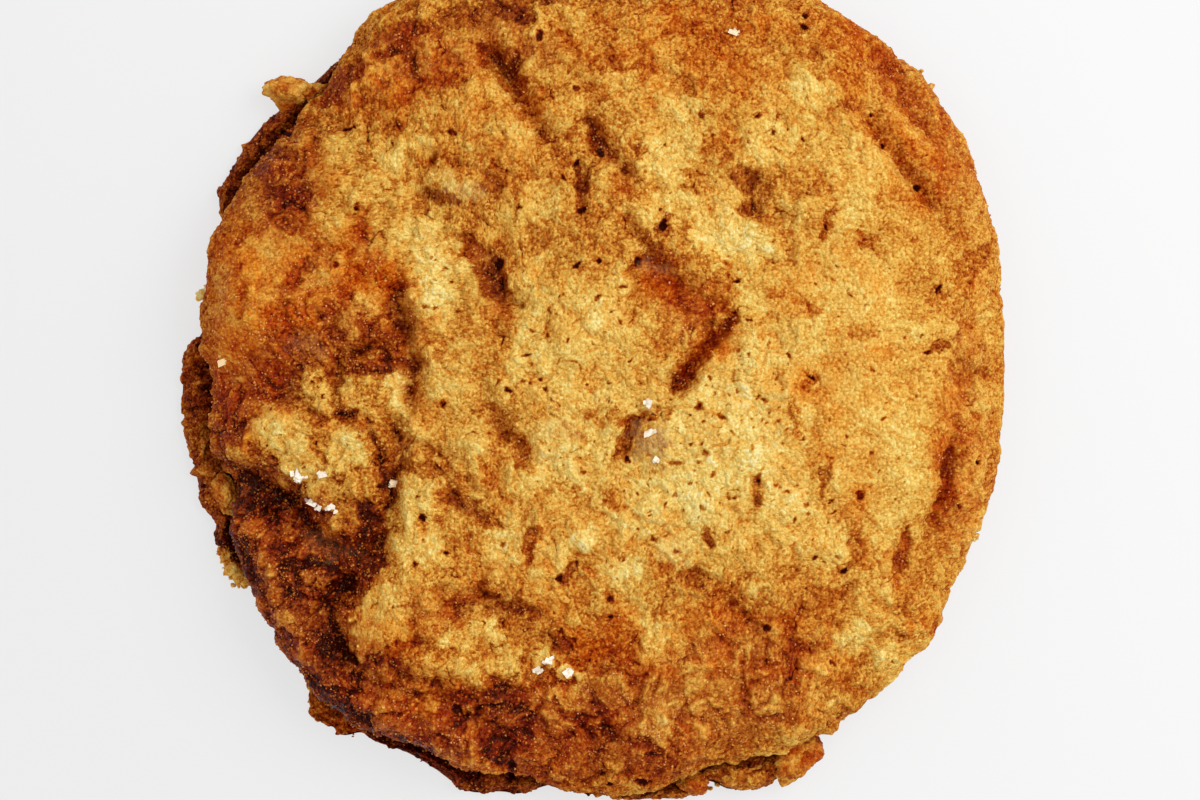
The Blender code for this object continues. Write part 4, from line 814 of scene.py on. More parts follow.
@dataclass(frozen=True)
class CookieForm:
    """The cookie's base form: dome, rolled rim, waist and foot, before any relief."""

    thickness: float = 12.3
    rim_height: float = 4.4
    dome_fullness: float = 3.2
    dome_rounding: float = 0.5
    neck_height: float = 3.0
    base_undercut: float = 1.8
    side_run: float = 9.0

    def profile(self) -> tuple[Array, Array, Array]:
        """Dome profile from the middle to the edge.

        Height is the rim's height plus the rise times (1 - s^fullness)^rounding, where s is the
        share of the edge's radius.

        Returns:
            Share of the edge's radius, height, and length of surface walked, in millimetres.
        """
        share = np.sin(np.linspace(0.0, math.pi / 2, 400)) ** 0.8
        rise = self.thickness - self.rim_height
        height = self.rim_height + rise * (1.0 - share**self.dome_fullness) ** self.dome_rounding
        mean_edge = np.mean(list(CRUST_EDGE.values()))
        walked = np.cumsum(np.hypot(np.gradient(share * mean_edge), np.gradient(height)))
        return share, height, walked - walked[0]

    def crust_run(self) -> float:
        """Length of surface from the middle to the crust's edge."""
        return float(self.profile()[2][-1])

    def side_chain(self, bearings: Array) -> tuple[Array, Array]:
        """Points that the side runs through, from just inside the crust's edge to the floor.

        Where the foot shows they follow the waist and the foot, and elsewhere a rolled side whose
        inward way is undercut * (1 - sqrt(1 - drop^2)), with the drop as a share of the rim's height.

        Args:
            bearings: Bearing of each column, in degrees.

        Returns:
            Radii and heights, one row for each point of the chain.
        """
        edge = around(CRUST_EDGE, bearings)
        reach = around(FOOT_REACH, bearings, smoothing=0.7)
        ledge = around(FOOT_HEIGHT, bearings)
        foot = edge + reach
        waist = np.minimum(edge, foot) - around(WAIST_DEPTH, bearings)
        width = foot - waist
        shows = np.clip((reach + 0.9) / 1.8, 0.0, 1.0)
        footed = (
            (edge - 0.3 * (edge - waist), 0.5 * (self.rim_height + self.neck_height) + 0 * ledge),
            (waist, np.maximum(self.neck_height, 0.8 * ledge)),
            (waist + 0.22 * width, 0.68 * ledge),
            (waist + 0.58 * width, 0.98 * ledge),
            (foot - 0.16 * width, 0.88 * ledge),
            (foot, 0.42 * ledge),
            (foot - 0.3, 0.0 * ledge),
        )
        radii, heights = [edge], [self.rim_height + 0 * edge]
        for number, (radius, height) in enumerate(footed):
            rolled_height = 0.85 * self.rim_height * (1.0 - number / (len(footed) - 1))
            drop = 1.0 - rolled_height / self.rim_height
            rolled = edge - self.base_undercut * (1.0 - math.sqrt(1.0 - 0.97 * drop**2))
            radii.append(rolled + shows * (radius - rolled))
            heights.append(rolled_height + shows * (height - rolled_height))
        return np.array(radii), np.array(heights)

    def base(self, walked: Array, bearings: Array) -> Array:
        """Base points at lengths of surface walked from the middle.

        Up to the crust's edge they follow the dome, and past it a smooth cubic through the chain.

        Args:
            walked: Length of surface from the middle, in millimetres.
            bearings: Bearing of each point, in degrees.

        Returns:
            Points as rows of x, y and z, in millimetres.
        """
        share, height, runs = self.profile()
        edge = around(CRUST_EDGE, bearings)
        radius = np.interp(walked, runs, share) * edge
        level = np.interp(walked, runs, height)
        side = walked > runs[-1]
        radii, heights = self.side_chain(bearings[side])
        start = np.array([radii[0] - 0.02, heights[0] + 0.7])
        radii = np.vstack([start[0], radii, 2 * radii[-1] - radii[-2]])
        heights = np.vstack([start[1], heights, 2 * heights[-1] - heights[-2]])
        links = len(radii) - 3
        place = np.clip((walked[side] - runs[-1]) / self.side_run, 0.0, 1.0) * links
        link = np.minimum(place.astype(int), links - 1)
        t = place - link
        column = np.arange(t.size)
        weights = (
            -0.5 * t**3 + t**2 - 0.5 * t,
            1.5 * t**3 - 2.5 * t**2 + 1.0,
            -1.5 * t**3 + 2.0 * t**2 + 0.5 * t,
            0.5 * t**3 - 0.5 * t**2,
        )
        radius[side] = sum(w * radii[link + k, column] for k, w in enumerate(weights))
        level[side] = sum(w * heights[link + k, column] for k, w in enumerate(weights))
        angle = np.radians(bearings)
        return np.column_stack([radius * np.cos(angle), radius * np.sin(angle), np.maximum(level, 0.0)])


@dataclass(frozen=True)
class Spots:
    """Places on the cookie, and the random values of the grains that they fall on, from 0 to 1.

    x and y are plan coordinates, and p and q unrolled ones, which don't shrink down the side. The
    side is 0 on the crust and 1 at the floor, and calm is how smooth the crust stayed.
    """

    x: Array
    y: Array
    p: Array
    q: Array
    side: Array
    bearing: Array
    clump: Array
    crumb: Array
    grain: Array
    calm: Array


@dataclass(frozen=True)
class BrowningAndShade:
    """How the oven and the caramel coloured the crust, with painted shade in the folds, the waist and the
    side.

    Attributes:
        ragged: How far noise pushes the patches' outlines, in millimetres.
        raised: How much paler raised crumb is, and how much more where caramel shines: drier crumb, with
            painted light on the tops.
        rest: Tone about which the contrast is stretched.
        level: What the resting tone becomes.
    """

    ground: float = 0.46
    ragged: float = 0.45
    stir: Layers = ((0.45, 3.1, 61, 63), (0.35, 1.1, 62, 64))
    drift: float = 2.0
    clump_spread: float = 0.08
    verge_tone: float = 0.66
    core_tone: float = 0.6
    raised: tuple[float, float] = (0.012, 0.063)
    rest: float = 0.47
    level: float = 0.521
    contrast: float = 1.17

    def warp(self, at: Spots) -> tuple[Array, Array, Array]:
        """Plan coordinates pushed about by noise, and noise that ravels a patch's outline."""
        x, y = stirred(at.x, at.y, self.stir)
        ravel = sheet_noise(at.x, at.y, 1.7, 65) + 0.6 * sheet_noise(at.x, at.y, 0.7, 66)
        return x, y, self.ragged * (ravel + 1.2 * (at.crumb - 0.5) + 0.8 * (at.grain - 0.5))

    def tone(self, at: Spots, verge: Array, core: Array) -> Array:
        """Tone at each place: the ground, then each wash and patch in turn, then the folds.

        A patch mixes its own tone in by a cubic step of the distance from its middle.

        Args:
            at: The places.
            verge: Share of each place in a fold's darker verge: browning with painted shade.
            core: Share of each place in a fold's darkest core: burnt caramel with painted shade.

        Returns:
            One tone for each place.
        """
        x, y, ravel = self.warp(at)
        tone = np.full(x.shape, self.ground)
        drift = self.drift * sheet_noise(at.x, at.y, 6.0, 67)
        for *shape, painted, strength in WASHES:
            gap = oval(x, y, shape, drift + ravel)
            tone += (painted - tone) * strength * (1.0 - smooth_step(0.6, 1.3, gap))
        tone += self.clump_spread * (at.clump - 0.5) * (1.0 - 0.7 * at.calm)
        for *shape, painted, strength in PATCHES:
            reach = 1.8 * shape[2] + 1.8 * shape[3]
            near = (np.abs(x - shape[0]) < reach) & (np.abs(y - shape[1]) < reach)
            gap = oval(x[near], y[near], shape, ravel[near])
            tone[near] += (painted - tone[near]) * strength * (1.0 - smooth_step(0.7, 1.25, gap))
        # The side and foot take their tone by bearing, with painted shade from it and in the deep waist under
        # the crust's overhang.
        foot = smooth_step(0.04, 0.3, at.side)
        waist = np.exp(-(((at.side - 0.3) / 0.13) ** 2))
        shaded = waist * smooth_step(0.5, 1.1, around(WAIST_DEPTH, at.bearing))
        tone += foot * (around(SIDE_TONE_AND_SHADE, at.bearing) + 0.12 * ravel + 0.3 * shaded - tone)
        # The folds are drawn darker: caramel browned in them, with painted shade in their depths.
        tone += verge * (self.verge_tone - tone) * 0.5
        tone += core * (self.core_tone + 0.38 * core - tone) * 0.75
        return self.level + self.contrast * (tone - self.rest)

    def field(self, at: Spots, rows: tuple[tuple[float, ...], ...]) -> Array:
        """Strongest patch of a table at each place, ravelled at its outline.

        Args:
            at: The places.
            rows: Patches as x, y, half length, half width, turn and amount.

        Returns:
            Amount from 0 to 1.
        """
        x, y, ravel = self.warp(at)
        most = np.zeros(x.shape)
        for *shape, amount in rows:
            gap = oval(x, y, shape, 2.0 * ravel)
            most = np.maximum(most, amount * (1.0 - smooth_step(0.5, 1.4, gap)))
        return most


@dataclass(frozen=True)
class Relief:
    """Relief of the crust and the foot, from the solid's own folds down to crumb grain.

    Sizes, heights and depths are in millimetres, each of the form that it is named for. A wave has
    a size and a height, and a ridge a size and a seed.
    """

    waves: tuple[tuple[float, float], ...] = ((15.0, 0.6), (8.0, 0.5), (4.4, 0.4), (2.3, 0.25))
    ridges: tuple[tuple[float, int], ...] = ((4.4, 31), (2.1, 32), (1.0, 33), (0.48, 34))
    clump: float = 3.3
    crumb: float = 1.15
    grain: float = 0.42
    pore_spacing: float = 1.2
    fold_stir: Layers = ((0.35, 2.2, 71, 73), (0.25, 0.8, 72, 74))
    pore_stir: Layers = ((0.16, 0.55, 81, 83), (0.1, 0.25, 82, 84))
    lump_height: float = 0.23
    nodule_height: float = 0.16
    clump_height: float = 0.25
    bit_height: float = 0.05
    fine_height: float = 0.02
    crumb_height: float = 0.13
    grain_height: float = 0.2
    crack_depth: float = 0.15
    dry_height: float = 0.3
    side_height: float = 0.16
    side_sink: float = 0.12
    caramel_height: float = 0.7
    pore_depth: float = 0.2

    def folds(self, at: Spots) -> tuple[Array, Array, Array]:
        """Depth of the folds, each a bell-shaped trough that runs out at its ends, and their darkening.

        Args:
            at: The places.

        Returns:
            Depth in millimetres, and the share of each place in a fold's darker verge and in its darkest
            core, which are drawn for baked caramel with painted shade.
        """
        wander = block_noise(np.column_stack([at.x, at.y, 0 * at.x]), 3.0, 5)
        x, y = stirred(at.x, at.y, self.fold_stir)
        deepest, verge, core = np.zeros(x.shape), np.zeros(x.shape), np.zeros(x.shape)
        for route, half_width, depth, darkness in CREASES.values():
            gap, along = distance_to_route(x, y, route)
            run_out = np.clip(np.minimum(along, 1.0 - along) * 6.0 + 0.35, 0.0, 1.0)
            width = half_width * (1.0 + 0.3 * wander)
            trough = depth * (run_out * np.exp(-((gap / width) ** 2)))
            deepest = np.maximum(deepest, trough) + 0.25 * np.minimum(deepest, trough)
            verge = np.maximum(verge, darkness * run_out * np.exp(-((gap / (1.5 * width)) ** 2)))
            core = np.maximum(core, darkness * run_out * np.exp(-((gap / (0.6 * width)) ** 2)))
        ragged = 0.5 * (at.crumb - 0.5) + 0.4 * (at.grain - 0.5) + 0.35 * wander
        verge = smooth_step(0.15, 0.8, verge + 0.6 * ragged) * smooth_step(0.0, 0.2, verge)
        core = smooth_step(0.3, 0.95, core + 0.6 * ragged) * smooth_step(0.05, 0.3, core)
        return deepest, verge, core

    def swellings(self, at: Spots) -> Array:
        """Height of the swellings, each a bell over an oval patch."""
        total = np.zeros(at.x.shape)
        for *shape, height in SWELLS.values():
            total += height * np.exp(-(oval(at.x, at.y, shape) ** 2))
        return total

    def waviness(self, base: Array) -> Array:
        """The solid's waves: smooth noise of several sizes."""
        total = np.zeros(len(base))
        for number, (size, height) in enumerate(self.waves):
            total += height * block_noise(base, size, 20 + number)
        return total

    def ridged(self, swirl: tuple[Array, Array]) -> list[Array]:
        """Lumps, nodules, bits and fine bits: |noise| / 0.3 - 1, which is round above and sharp below."""
        return [np.abs(sheet_noise(*swirl, size, seed)) / 0.3 - 1.0 for size, seed in self.ridges]

    def pores(self, at: Spots, openness: Array) -> Array:
        """How deep in a pore each place is: the named pores, and small ones spread by openness.

        A small pore is a jittered dot whose size is its own random value, drawn only where that
        value is under the openness.

        Args:
            at: The places.
            openness: Share of the spread pores that are open, from 0 to 1.

        Returns:
            0 outside the pores, rising to 1 at their middles.
        """
        x, y = stirred(at.x, at.y, self.pore_stir)
        inside = np.zeros(x.shape)
        for middle_x, middle_y, length, width, turn in PORES:
            near = (np.abs(x - middle_x) < 1.6) & (np.abs(y - middle_y) < 1.6)
            gap = oval(x[near], y[near], (middle_x, middle_y, length + 0.04, width + 0.06, turn))
            inside[near] = np.maximum(inside[near], 1.0 - smooth_step(0.55, 1.25, gap))
        for seed, stretch, turn in ((91, 1.0, 0.0), (92, 2.2, 0.7), (93, 2.2, 2.3)):
            cos, sin = math.cos(turn), math.sin(turn)
            along, across = (x * cos + y * sin) / stretch, y * cos - x * sin
            gap, _, own = cell_noise(along, across, self.pore_spacing, seed)
            radius = 0.04 + 0.1 * own / np.maximum(openness, 0.03)
            dot = 0.8 * (own < openness) * (1.0 - smooth_step(0.6 * radius, 1.3 * radius, gap))
            inside = np.maximum(inside, dot)
        return inside


class Surface:
    """The cookie's fine outer surface as one grid of points with its colours.

    The grid is wrapped onto the cookie from the crust's middle to the floor. The lumps and clumps
    follow the swirl, and the point values are what the material reads at each point: tone, gloss and
    hue, with painted shade in pores, grain gaps, hollows and folds, and painted light on raised crumb.
    """

    SWIRL = ((1.1, 3.0, 41, 43), (0.5, 1.0, 42, 44))
    GRAIN_STIR = ((0.14, 0.6, 35, 36),)

    def __init__(self, form: CookieForm, relief: Relief, browning_and_shade: BrowningAndShade, cells: int) -> None:
        """Works out the surface.

        Args:
            form: The base form.
            relief: The relief on it.
            browning_and_shade: The colours on it, painted shade among them.
            cells: Grid cells along each side.
        """
        self.grid = DiscGrid(cells)
        radius, bearing = self.grid.polar()
        self.shape = radius.shape
        walked = radius.ravel() * (form.crust_run() + form.side_run)
        bearing = bearing.ravel()
        base = form.base(walked, bearing)
        p, q = walked * np.cos(np.radians(bearing)), walked * np.sin(np.radians(bearing))
        bent = stirred(p, q, self.GRAIN_STIR)
        self.swirl = stirred(p, q, self.SWIRL)
        self.clumps = cell_noise(*self.swirl, relief.clump, 39)
        self.crumbs = cell_noise(*bent, relief.crumb, 38)
        self.grains = cell_noise(*bent, relief.grain, 37)
        calm, push = np.zeros(p.shape), 1.2 * sheet_noise(p, q, 4.0, 45)
        for *shape, amount in SMOOTH:
            gap = oval(base[:, 0], base[:, 1], shape, push)
            calm = np.maximum(calm, amount * (1.0 - smooth_step(0.6, 1.4, gap)))
        side = np.clip((walked - form.crust_run()) / form.side_run, 0.0, 1.0)
        clump, crumb, grain = self.clumps[2], self.crumbs[2], self.grains[2]
        self.at = Spots(base[:, 0], base[:, 1], p, q, side, bearing, clump, crumb, grain, calm)
        self.point_values: dict[str, Array] = {}
        base_normals = self.directions(base)
        lift = self.lift(base, base_normals, relief, browning_and_shade)
        self.points = base + lift[:, None] * base_normals
        self.points[:, 2] = np.maximum(self.points[:, 2], 0.0)
        self.points = hold_in_box(self.points)
        self.normals = self.directions(self.points)

    def directions(self, points: Array) -> Array:
        """Unit normals of the grid: the cross product of its two central differences."""
        square = points.reshape(*self.shape, 3)
        normal = np.cross(np.gradient(square, axis=1), np.gradient(square, axis=0)).reshape(-1, 3)
        return normal / np.maximum(np.linalg.norm(normal, axis=1, keepdims=True), 1e-12)

    def lift(self, base: Array, normals: Array, relief: Relief, browning_and_shade: BrowningAndShade) -> Array:
        """Height of the relief over the base form, and the point values that go with it, painted shade and
        light among them.

        It is the sum of the folds, swellings and waves, the heaps of lumps, nodules and clumps, and
        the granules of bits, crumbs and grains, less the cracks and pores. Heaps and granules are
        weaker where the crust stayed smooth, and all of it runs out where the foot meets the floor.

        Args:
            base: Base points.
            normals: Their outward directions.
            relief: The relief to work out.
            browning_and_shade: The colours to work out, painted shade and light among them.

        Returns:
            Height along the normal, in millimetres.
        """
        at = self.at
        depth, verge, core = relief.folds(at)
        tone = browning_and_shade.tone(at, verge, core)
        shine = browning_and_shade.field(at, CARAMEL)
        edge = smooth_step(0.0, 0.25, at.side)
        crust = 1.0 - edge
        upright = 0.35 + 0.65 * np.maximum(normals[:, 2], 0.0)
        coarse = (relief.swellings(at) - depth + relief.waviness(base)) * upright * crust

        near, _, crumb_own = self.crumbs
        crumbs = np.sqrt(np.clip(1.0 - near**2, 0.0, 1.0)) * (0.55 + 0.45 * crumb_own)
        near, far, grain_own = self.grains
        grains = np.sqrt(np.clip(1.0 - near**2, 0.0, 1.0)) * (0.5 + 0.5 * grain_own)
        grain_gap_shade = smooth_step(0.0, 0.3, far - near)
        near, far, clump_own = self.clumps
        clumps = np.exp(-1.6 * near**2) * (0.5 + 0.5 * clump_own)
        split = 1.0 - smooth_step(0.0, 0.3, far - near)
        cracked = smooth_step(0.3, 0.7, sheet_noise(at.p, at.q, 2.6, 46)) * (1.0 - at.calm)
        crack = (1.0 - smooth_step(0.01, 0.06, far - near)) * cracked

        lumps, nodules, bits, fine = relief.ridged(self.swirl)
        lively = 1.0 - 0.75 * at.calm
        heaps = relief.lump_height * lumps + relief.nodule_height * nodules
        heaps = lively * (heaps + relief.clump_height * (clumps - 0.5))
        granules = relief.bit_height * bits + relief.fine_height * fine
        granules = (0.3 + 0.7 * lively) * (granules + relief.crumb_height * (crumbs - 0.6))
        granules += (0.6 + 0.4 * lively) * relief.grain_height * (grains - 0.6)
        dry = 1.0 - smooth_step(0.5, 0.72, tone + 0.1 * (crumb_own - 0.5))
        texture = heaps + granules - lively * relief.crack_depth * crack + relief.dry_height * (dry - 0.7)
        texture += edge * (relief.side_height * sheet_noise(at.p, at.q, 0.9, 40) - relief.side_sink)
        pores = relief.pores(at, np.clip(0.58 - 1.5 * tone, 0.0, 0.36) * crust)
        coarse += relief.caramel_height * shine * crust * (0.7 - tone)

        # Raised crumb is drawn paler, more so in the caramel: drier tops, with painted light on them.
        paler, paler_in_caramel = browning_and_shade.raised
        raised = nodules + 0.6 * lumps + 0.8 * bits + 0.5
        tone -= (paler + paler_in_caramel * shine) * crust * raised
        self.point_values = {
            "tone": tone,
            "shine": np.maximum(shine, smooth_step(0.6, 0.85, tone)) * (0.4 + 0.6 * crust),
            "amber": browning_and_shade.field(at, AMBER),
            "ash": browning_and_shade.field(at, ASH),
            # Painted shade in pores and cracks: the material browns the tone there.
            "pore": np.maximum(pores, 0.6 * crack),
            "grain": 0.5 * crumb_own + 0.5 * grain_own,
            # Painted shade at grain edges: the material browns the tone where the gap value is low.
            "gap": grain_gap_shade,
            # Lower places and the splits between clumps are drawn browner and heaps paler: caramel pooled
            # low, with painted shade.
            "hollow": 0.5 - (0.5 * heaps + 1.5 * granules) + 0.12 * lively * split,
        }
        on_floor = smooth_step(0.93, 1.0, at.side)
        return (coarse + texture - relief.pore_depth * pores) * (1.0 - on_floor)

    def point_at(self, x: float, y: float) -> Array:
        """The crust's point nearest to a plan place, in millimetres as drawn."""
        gap = (self.points[:, 0] - x) ** 2 + (self.points[:, 1] - y) ** 2 + 1e3 * (self.at.side > 0.05)
        return self.points[int(np.argmin(gap))]


def to_frame(points: Array) -> Array:
    """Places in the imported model's frame, in metres, from millimetres as drawn."""
    return (points - np.array([*DRAWN_MIDDLE, 0.0])) * MM


def hold_in_box(points: Array) -> Array:
    """Draws the outermost points in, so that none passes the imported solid's box.

    Past a margin inside each upright face and the top, a point's way is margin * (1 - e^(-way / margin)).

    Args:
        points: Places in millimetres as drawn.

    Returns:
        The places inside the box.
    """
    middle = np.array([*DRAWN_MIDDLE, 0.0])
    low, high = (np.array([float(part) for part in corner]) / MM + middle for corner in cad_box)
    for limit, side in ((high, np.ones(3)), (low, np.array([-1.0, -1.0, 0.0]))):
        way = np.maximum(side * (points - limit) + BOX_MARGIN, 0.0) * np.abs(side)
        points = points - side * (way - BOX_MARGIN * (1.0 - np.exp(-way / BOX_MARGIN)))
    return points


def turned(points: Array, angle: float) -> Array:
    """Points turned about the upright axis by an angle in radians."""
    cos, sin = math.cos(angle), math.sin(angle)
    return points @ np.array([[cos, sin, 0.0], [-sin, cos, 0.0], [0.0, 0.0, 1.0]])


def make_piece(
    name: str, points: Array, faces: Array, point_values: dict[str, Array], finish: Finish, smooth: bool = True
) -> Piece:
    """A mesh piece with its material, and with its point values as point attributes.

    Args:
        name: Name of the piece.
        points: Places in millimetres as drawn.
        faces: Triangles or quads that index into the points.
        point_values: Named values at each point.
        finish: The piece's material.
        smooth: Whether the faces are shaded as one smooth skin.

    Returns:
        The new object, at the origin.
    """
    mesh = bpy.data.meshes.new(name)
    mesh.vertices.add(len(points))
    mesh.vertices.foreach_set("co", to_frame(points).astype(np.float32).ravel())
    mesh.loops.add(faces.size)
    mesh.loops.foreach_set("vertex_index", faces.astype(np.int32).ravel())
    mesh.polygons.add(len(faces))
    mesh.polygons.foreach_set("loop_start", np.arange(0, faces.size, faces.shape[1], dtype=np.int32))
    mesh.polygons.foreach_set("use_smooth", np.full(len(faces), smooth))
    mesh.update(calc_edges=True)
    for dye, values in point_values.items():
        layer = mesh.attributes.new(dye, "FLOAT", "POINT")
        layer.data.foreach_set("value", np.broadcast_to(values, len(points)).astype(np.float32))
    mesh.materials.append(finish)
    piece = bpy.data.objects.new(name, mesh)
    bpy.context.scene.collection.objects.link(piece)
    return piece


def set_up(tree: bpy.types.NodeTree, node: bpy.types.Node, settings: dict) -> None:
    """Gives a shader node its settings and links.

    Args:
        tree: The node tree that it is in.
        node: The node.
        settings: Node properties by name, and by socket name or number either the value of the
            input socket or the output socket that it is linked to.
    """
    for key, value in settings.items():
        if isinstance(key, str) and hasattr(node, key):
            setattr(node, key, value)
        elif isinstance(value, bpy.types.NodeSocket):
            tree.links.new(value, node.inputs[key])
        else:
            node.inputs[key].default_value = value


def add_node(
    tree: bpy.types.NodeTree, kind: str, settings: dict | None = None, stops: Stops = ()
) -> bpy.types.Node:
    """Adds a shader node with its settings and links.

    Args:
        tree: The material's node tree.
        kind: Blender's name of the node type, without its "ShaderNode" in front.
        settings: Properties and sockets, as set_up takes them.
        stops: Position and colour of each stop, for a node that has a ramp.

    Returns:
        The new node.
    """
    node = tree.nodes.new(f"ShaderNode{kind}")
    set_up(tree, node, settings or {})
    for number, (position, colour) in enumerate(stops):
        stop = node.color_ramp.elements[number] if number < 2 else node.color_ramp.elements.new(1.0)
        stop.position = position
        stop.color = linear(colour)
    return node


def new_material(name: str) -> tuple[Finish, bpy.types.NodeTree, bpy.types.Node]:
    """A new material with its node tree and its one Principled shader."""
    material = bpy.data.materials.new(name)
    material.use_nodes = True
    tree = material.node_tree
    return material, tree, tree.nodes["Principled BSDF"]


@dataclass(frozen=True)
class BakedDough:
    """Butter cookie dough baked with caramel: open matt crumb that turns glossy where sugar melted.

    The oven gives it every tone from pale gold to burnt caramel, grain by grain, and the melted
    sugar gives the brown places small sharp glints: real ones from its glossy coat, and painted
    highlights, paler dots in the colour where the caramel shines.

    Attributes:
        painted_glint_rarity: How high the noise has to be for a painted glint to show, from 0 to 3.
        sand_rest: Mean of the grit and speckle.
        dry_grit: How much the grit shows in dry crumb.
        melting: How much less it shows in caramel.
        changes: What moves the tone, browning and painted light and shade alike: a value's name, its amount,
            and the value at rest.
    """

    cloud_mm: float = 3.6
    mottle_mm: float = 1.0
    grit_mm: float = 0.26
    grain_mm: float = 0.32
    painted_glint_mm: float = 0.42
    painted_glint_rarity: float = 1.84
    painted_glint_radius: tuple[float, float] = (0.2, 0.5)
    speckle_share: float = 0.4
    sand_rest: float = 0.7
    dry_grit: float = 1.05
    melting: float = 0.7
    changes: tuple[tuple[str, float, float], ...] = (
        ("cloud", 0.17, 0.5), ("mottle", 0.18, 0.5), ("flour", 0.54, 0.0), ("grain", 0.12, 0.5),
        ("gap", -0.12, 0.8), ("hollow", 0.4, 0.5), ("pore", 0.5, 0.0), ("painted_sparkle", -0.34, 0.04),
    )
    plain_stops: Stops = (
        (0.0, Colour.PALEST), (0.15, Colour.PALE), (0.31, Colour.GOLDEN), (0.465, Colour.TAN),
        (0.62, Colour.BROWN), (0.77, Colour.CARAMEL), (0.88, Colour.DARK_CARAMEL), (1.0, Colour.BURNT),
    )
    amber_stops: Stops = (
        (0.1, Colour.AMBER_PALE), (0.39, Colour.AMBER_BRIGHT), (0.62, Colour.AMBER),
        (0.82, Colour.AMBER_DARK), (1.0, Colour.AMBER_BURNT),
    )
    amber_pull: float = 0.8
    amber_swing: float = 2.4
    milky_share: float = 0.5
    crumb_roughness: float = 0.5
    caramel_roughness: float = 0.25
    speckle_roughness: float = 0.2
    grit_depth_mm: float = 0.12
    grain_depth_mm: float = 0.16
    melt_share: float = 0.32
    melt_roughness: float = 0.16

    def steps(self) -> list[tuple]:
        """The sums that lead to the tone and its veils: a new value's name, the sum, and its terms."""
        steps = [
            ("crowd", "ADD", "cloud", "mottle"),
            ("likely", "ADD", "crowd", "drawn"),
            # Painted highlights: round dots where the noise is high, made paler in the shining caramel to
            # stand in for glints.
            ("clear", "GREATER_THAN", "likely", self.painted_glint_rarity),
            ("glint", "MULTIPLY", "clear", "dot"),
            ("painted_sparkle", "MULTIPLY", "glint", "shine"),
            ("sand", "MULTIPLY_ADD", "speckle", self.speckle_share, "grit"),
            ("swing", "SUBTRACT", "sand", self.sand_rest),
            ("dryness", "MULTIPLY_ADD", "shine", -self.melting, self.dry_grit),
            ("flour", "MULTIPLY", "swing", "dryness"),
        ]
        for value, amount, rest in self.changes:
            steps.append(("change", "SUBTRACT", value, rest))
            steps.append(("tone", "MULTIPLY_ADD", "change", amount, "tone"))
        gloss = self.caramel_roughness - self.crumb_roughness
        return steps + [
            ("drift", "SUBTRACT", "cloud", 0.5),
            ("pull", "MULTIPLY", "amber", self.amber_pull),
            ("warmth", "MULTIPLY_ADD", "drift", self.amber_swing, "pull"),
            ("veil", "MULTIPLY", "ash", self.milky_share),
            ("matt", "MULTIPLY_ADD", "shine", gloss, self.crumb_roughness),
            ("roughness", "MULTIPLY_ADD", "polish", self.speckle_roughness, "matt"),
            ("melt", "MULTIPLY", "shine", self.melt_share),
        ]

    def build(self) -> Finish:
        """Builds the material from the surface's point values and noise in the object's own coordinates."""
        material, tree, shader = new_material("baked_caramel_dough")
        place = add_node(tree, "TexCoord").outputs["Object"]
        values = {
            name: add_node(tree, "Attribute", {"attribute_name": name}).outputs["Fac"]
            for name in ("tone", "shine", "amber", "ash", "pore", "grain", "gap", "hollow")
        }
        noises = (("cloud", self.cloud_mm, 3.0), ("mottle", self.mottle_mm, 3.0), ("grit", self.grit_mm, 2.0))
        for name, size, detail in noises:
            values[name] = add_node(tree, "TexNoise", {
                "Vector": place, "Scale": 1.0 / (size * MM), "Detail": detail, "Roughness": 0.65,
            }).outputs["Fac"]
        # The second Voronoi places the painted glints.
        grains, crystals = (
            add_node(tree, "TexVoronoi", {"Vector": place, "Scale": 1.0 / (size * MM)})
            for size in (self.grain_mm, self.painted_glint_mm)
        )
        parts = add_node(tree, "SeparateColor", {0: grains.outputs["Color"]})
        values["speckle"], values["polish"] = parts.outputs[0], parts.outputs[1]
        values["drawn"] = add_node(tree, "SeparateColor", {0: crystals.outputs["Color"]}).outputs[0]
        values["dot"] = add_node(tree, "MapRange", {
            "Value": crystals.outputs["Distance"], "From Min": self.painted_glint_radius[0],
            "From Max": self.painted_glint_radius[1], "To Min": 1.0, "To Max": 0.0,
        }).outputs[0]
        for name, operation, *terms in self.steps():
            sums = {number: values.get(term, term) for number, term in enumerate(terms)}
            values[name] = add_node(tree, "Math", {"operation": operation, **sums}).outputs[0]

        plain, amber = (
            add_node(tree, "ValToRGB", {0: values["tone"]}, stops).outputs["Color"]
            for stops in (self.plain_stops, self.amber_stops)
        )
        colour = plain
        for share, other in (("warmth", amber), ("veil", linear(Colour.MILKY))):
            colour = add_node(tree, "Mix", {
                "data_type": "RGBA", "clamp_factor": True, 0: values[share], 6: colour, 7: other,
            }).outputs[2]
        floury = add_node(tree, "Bump", {
            "Strength": 1.0, "Distance": self.grit_depth_mm * MM, "Height": values["grit"],
        }).outputs["Normal"]
        bumped = add_node(tree, "Bump", {
            "Strength": 1.0, "Distance": self.grain_depth_mm * MM, "invert": True,
            "Height": grains.outputs["Distance"], "Normal": floury,
        }).outputs["Normal"]
        set_up(tree, shader, {
            "Base Color": colour, "Roughness": values["roughness"], "Normal": bumped,
            "Coat Normal": bumped, "Coat Weight": values["melt"], "Coat IOR": 1.4,
            "Coat Roughness": self.melt_roughness, "Specular IOR Level": 0.03, "IOR": 1.45,
        })
        return material


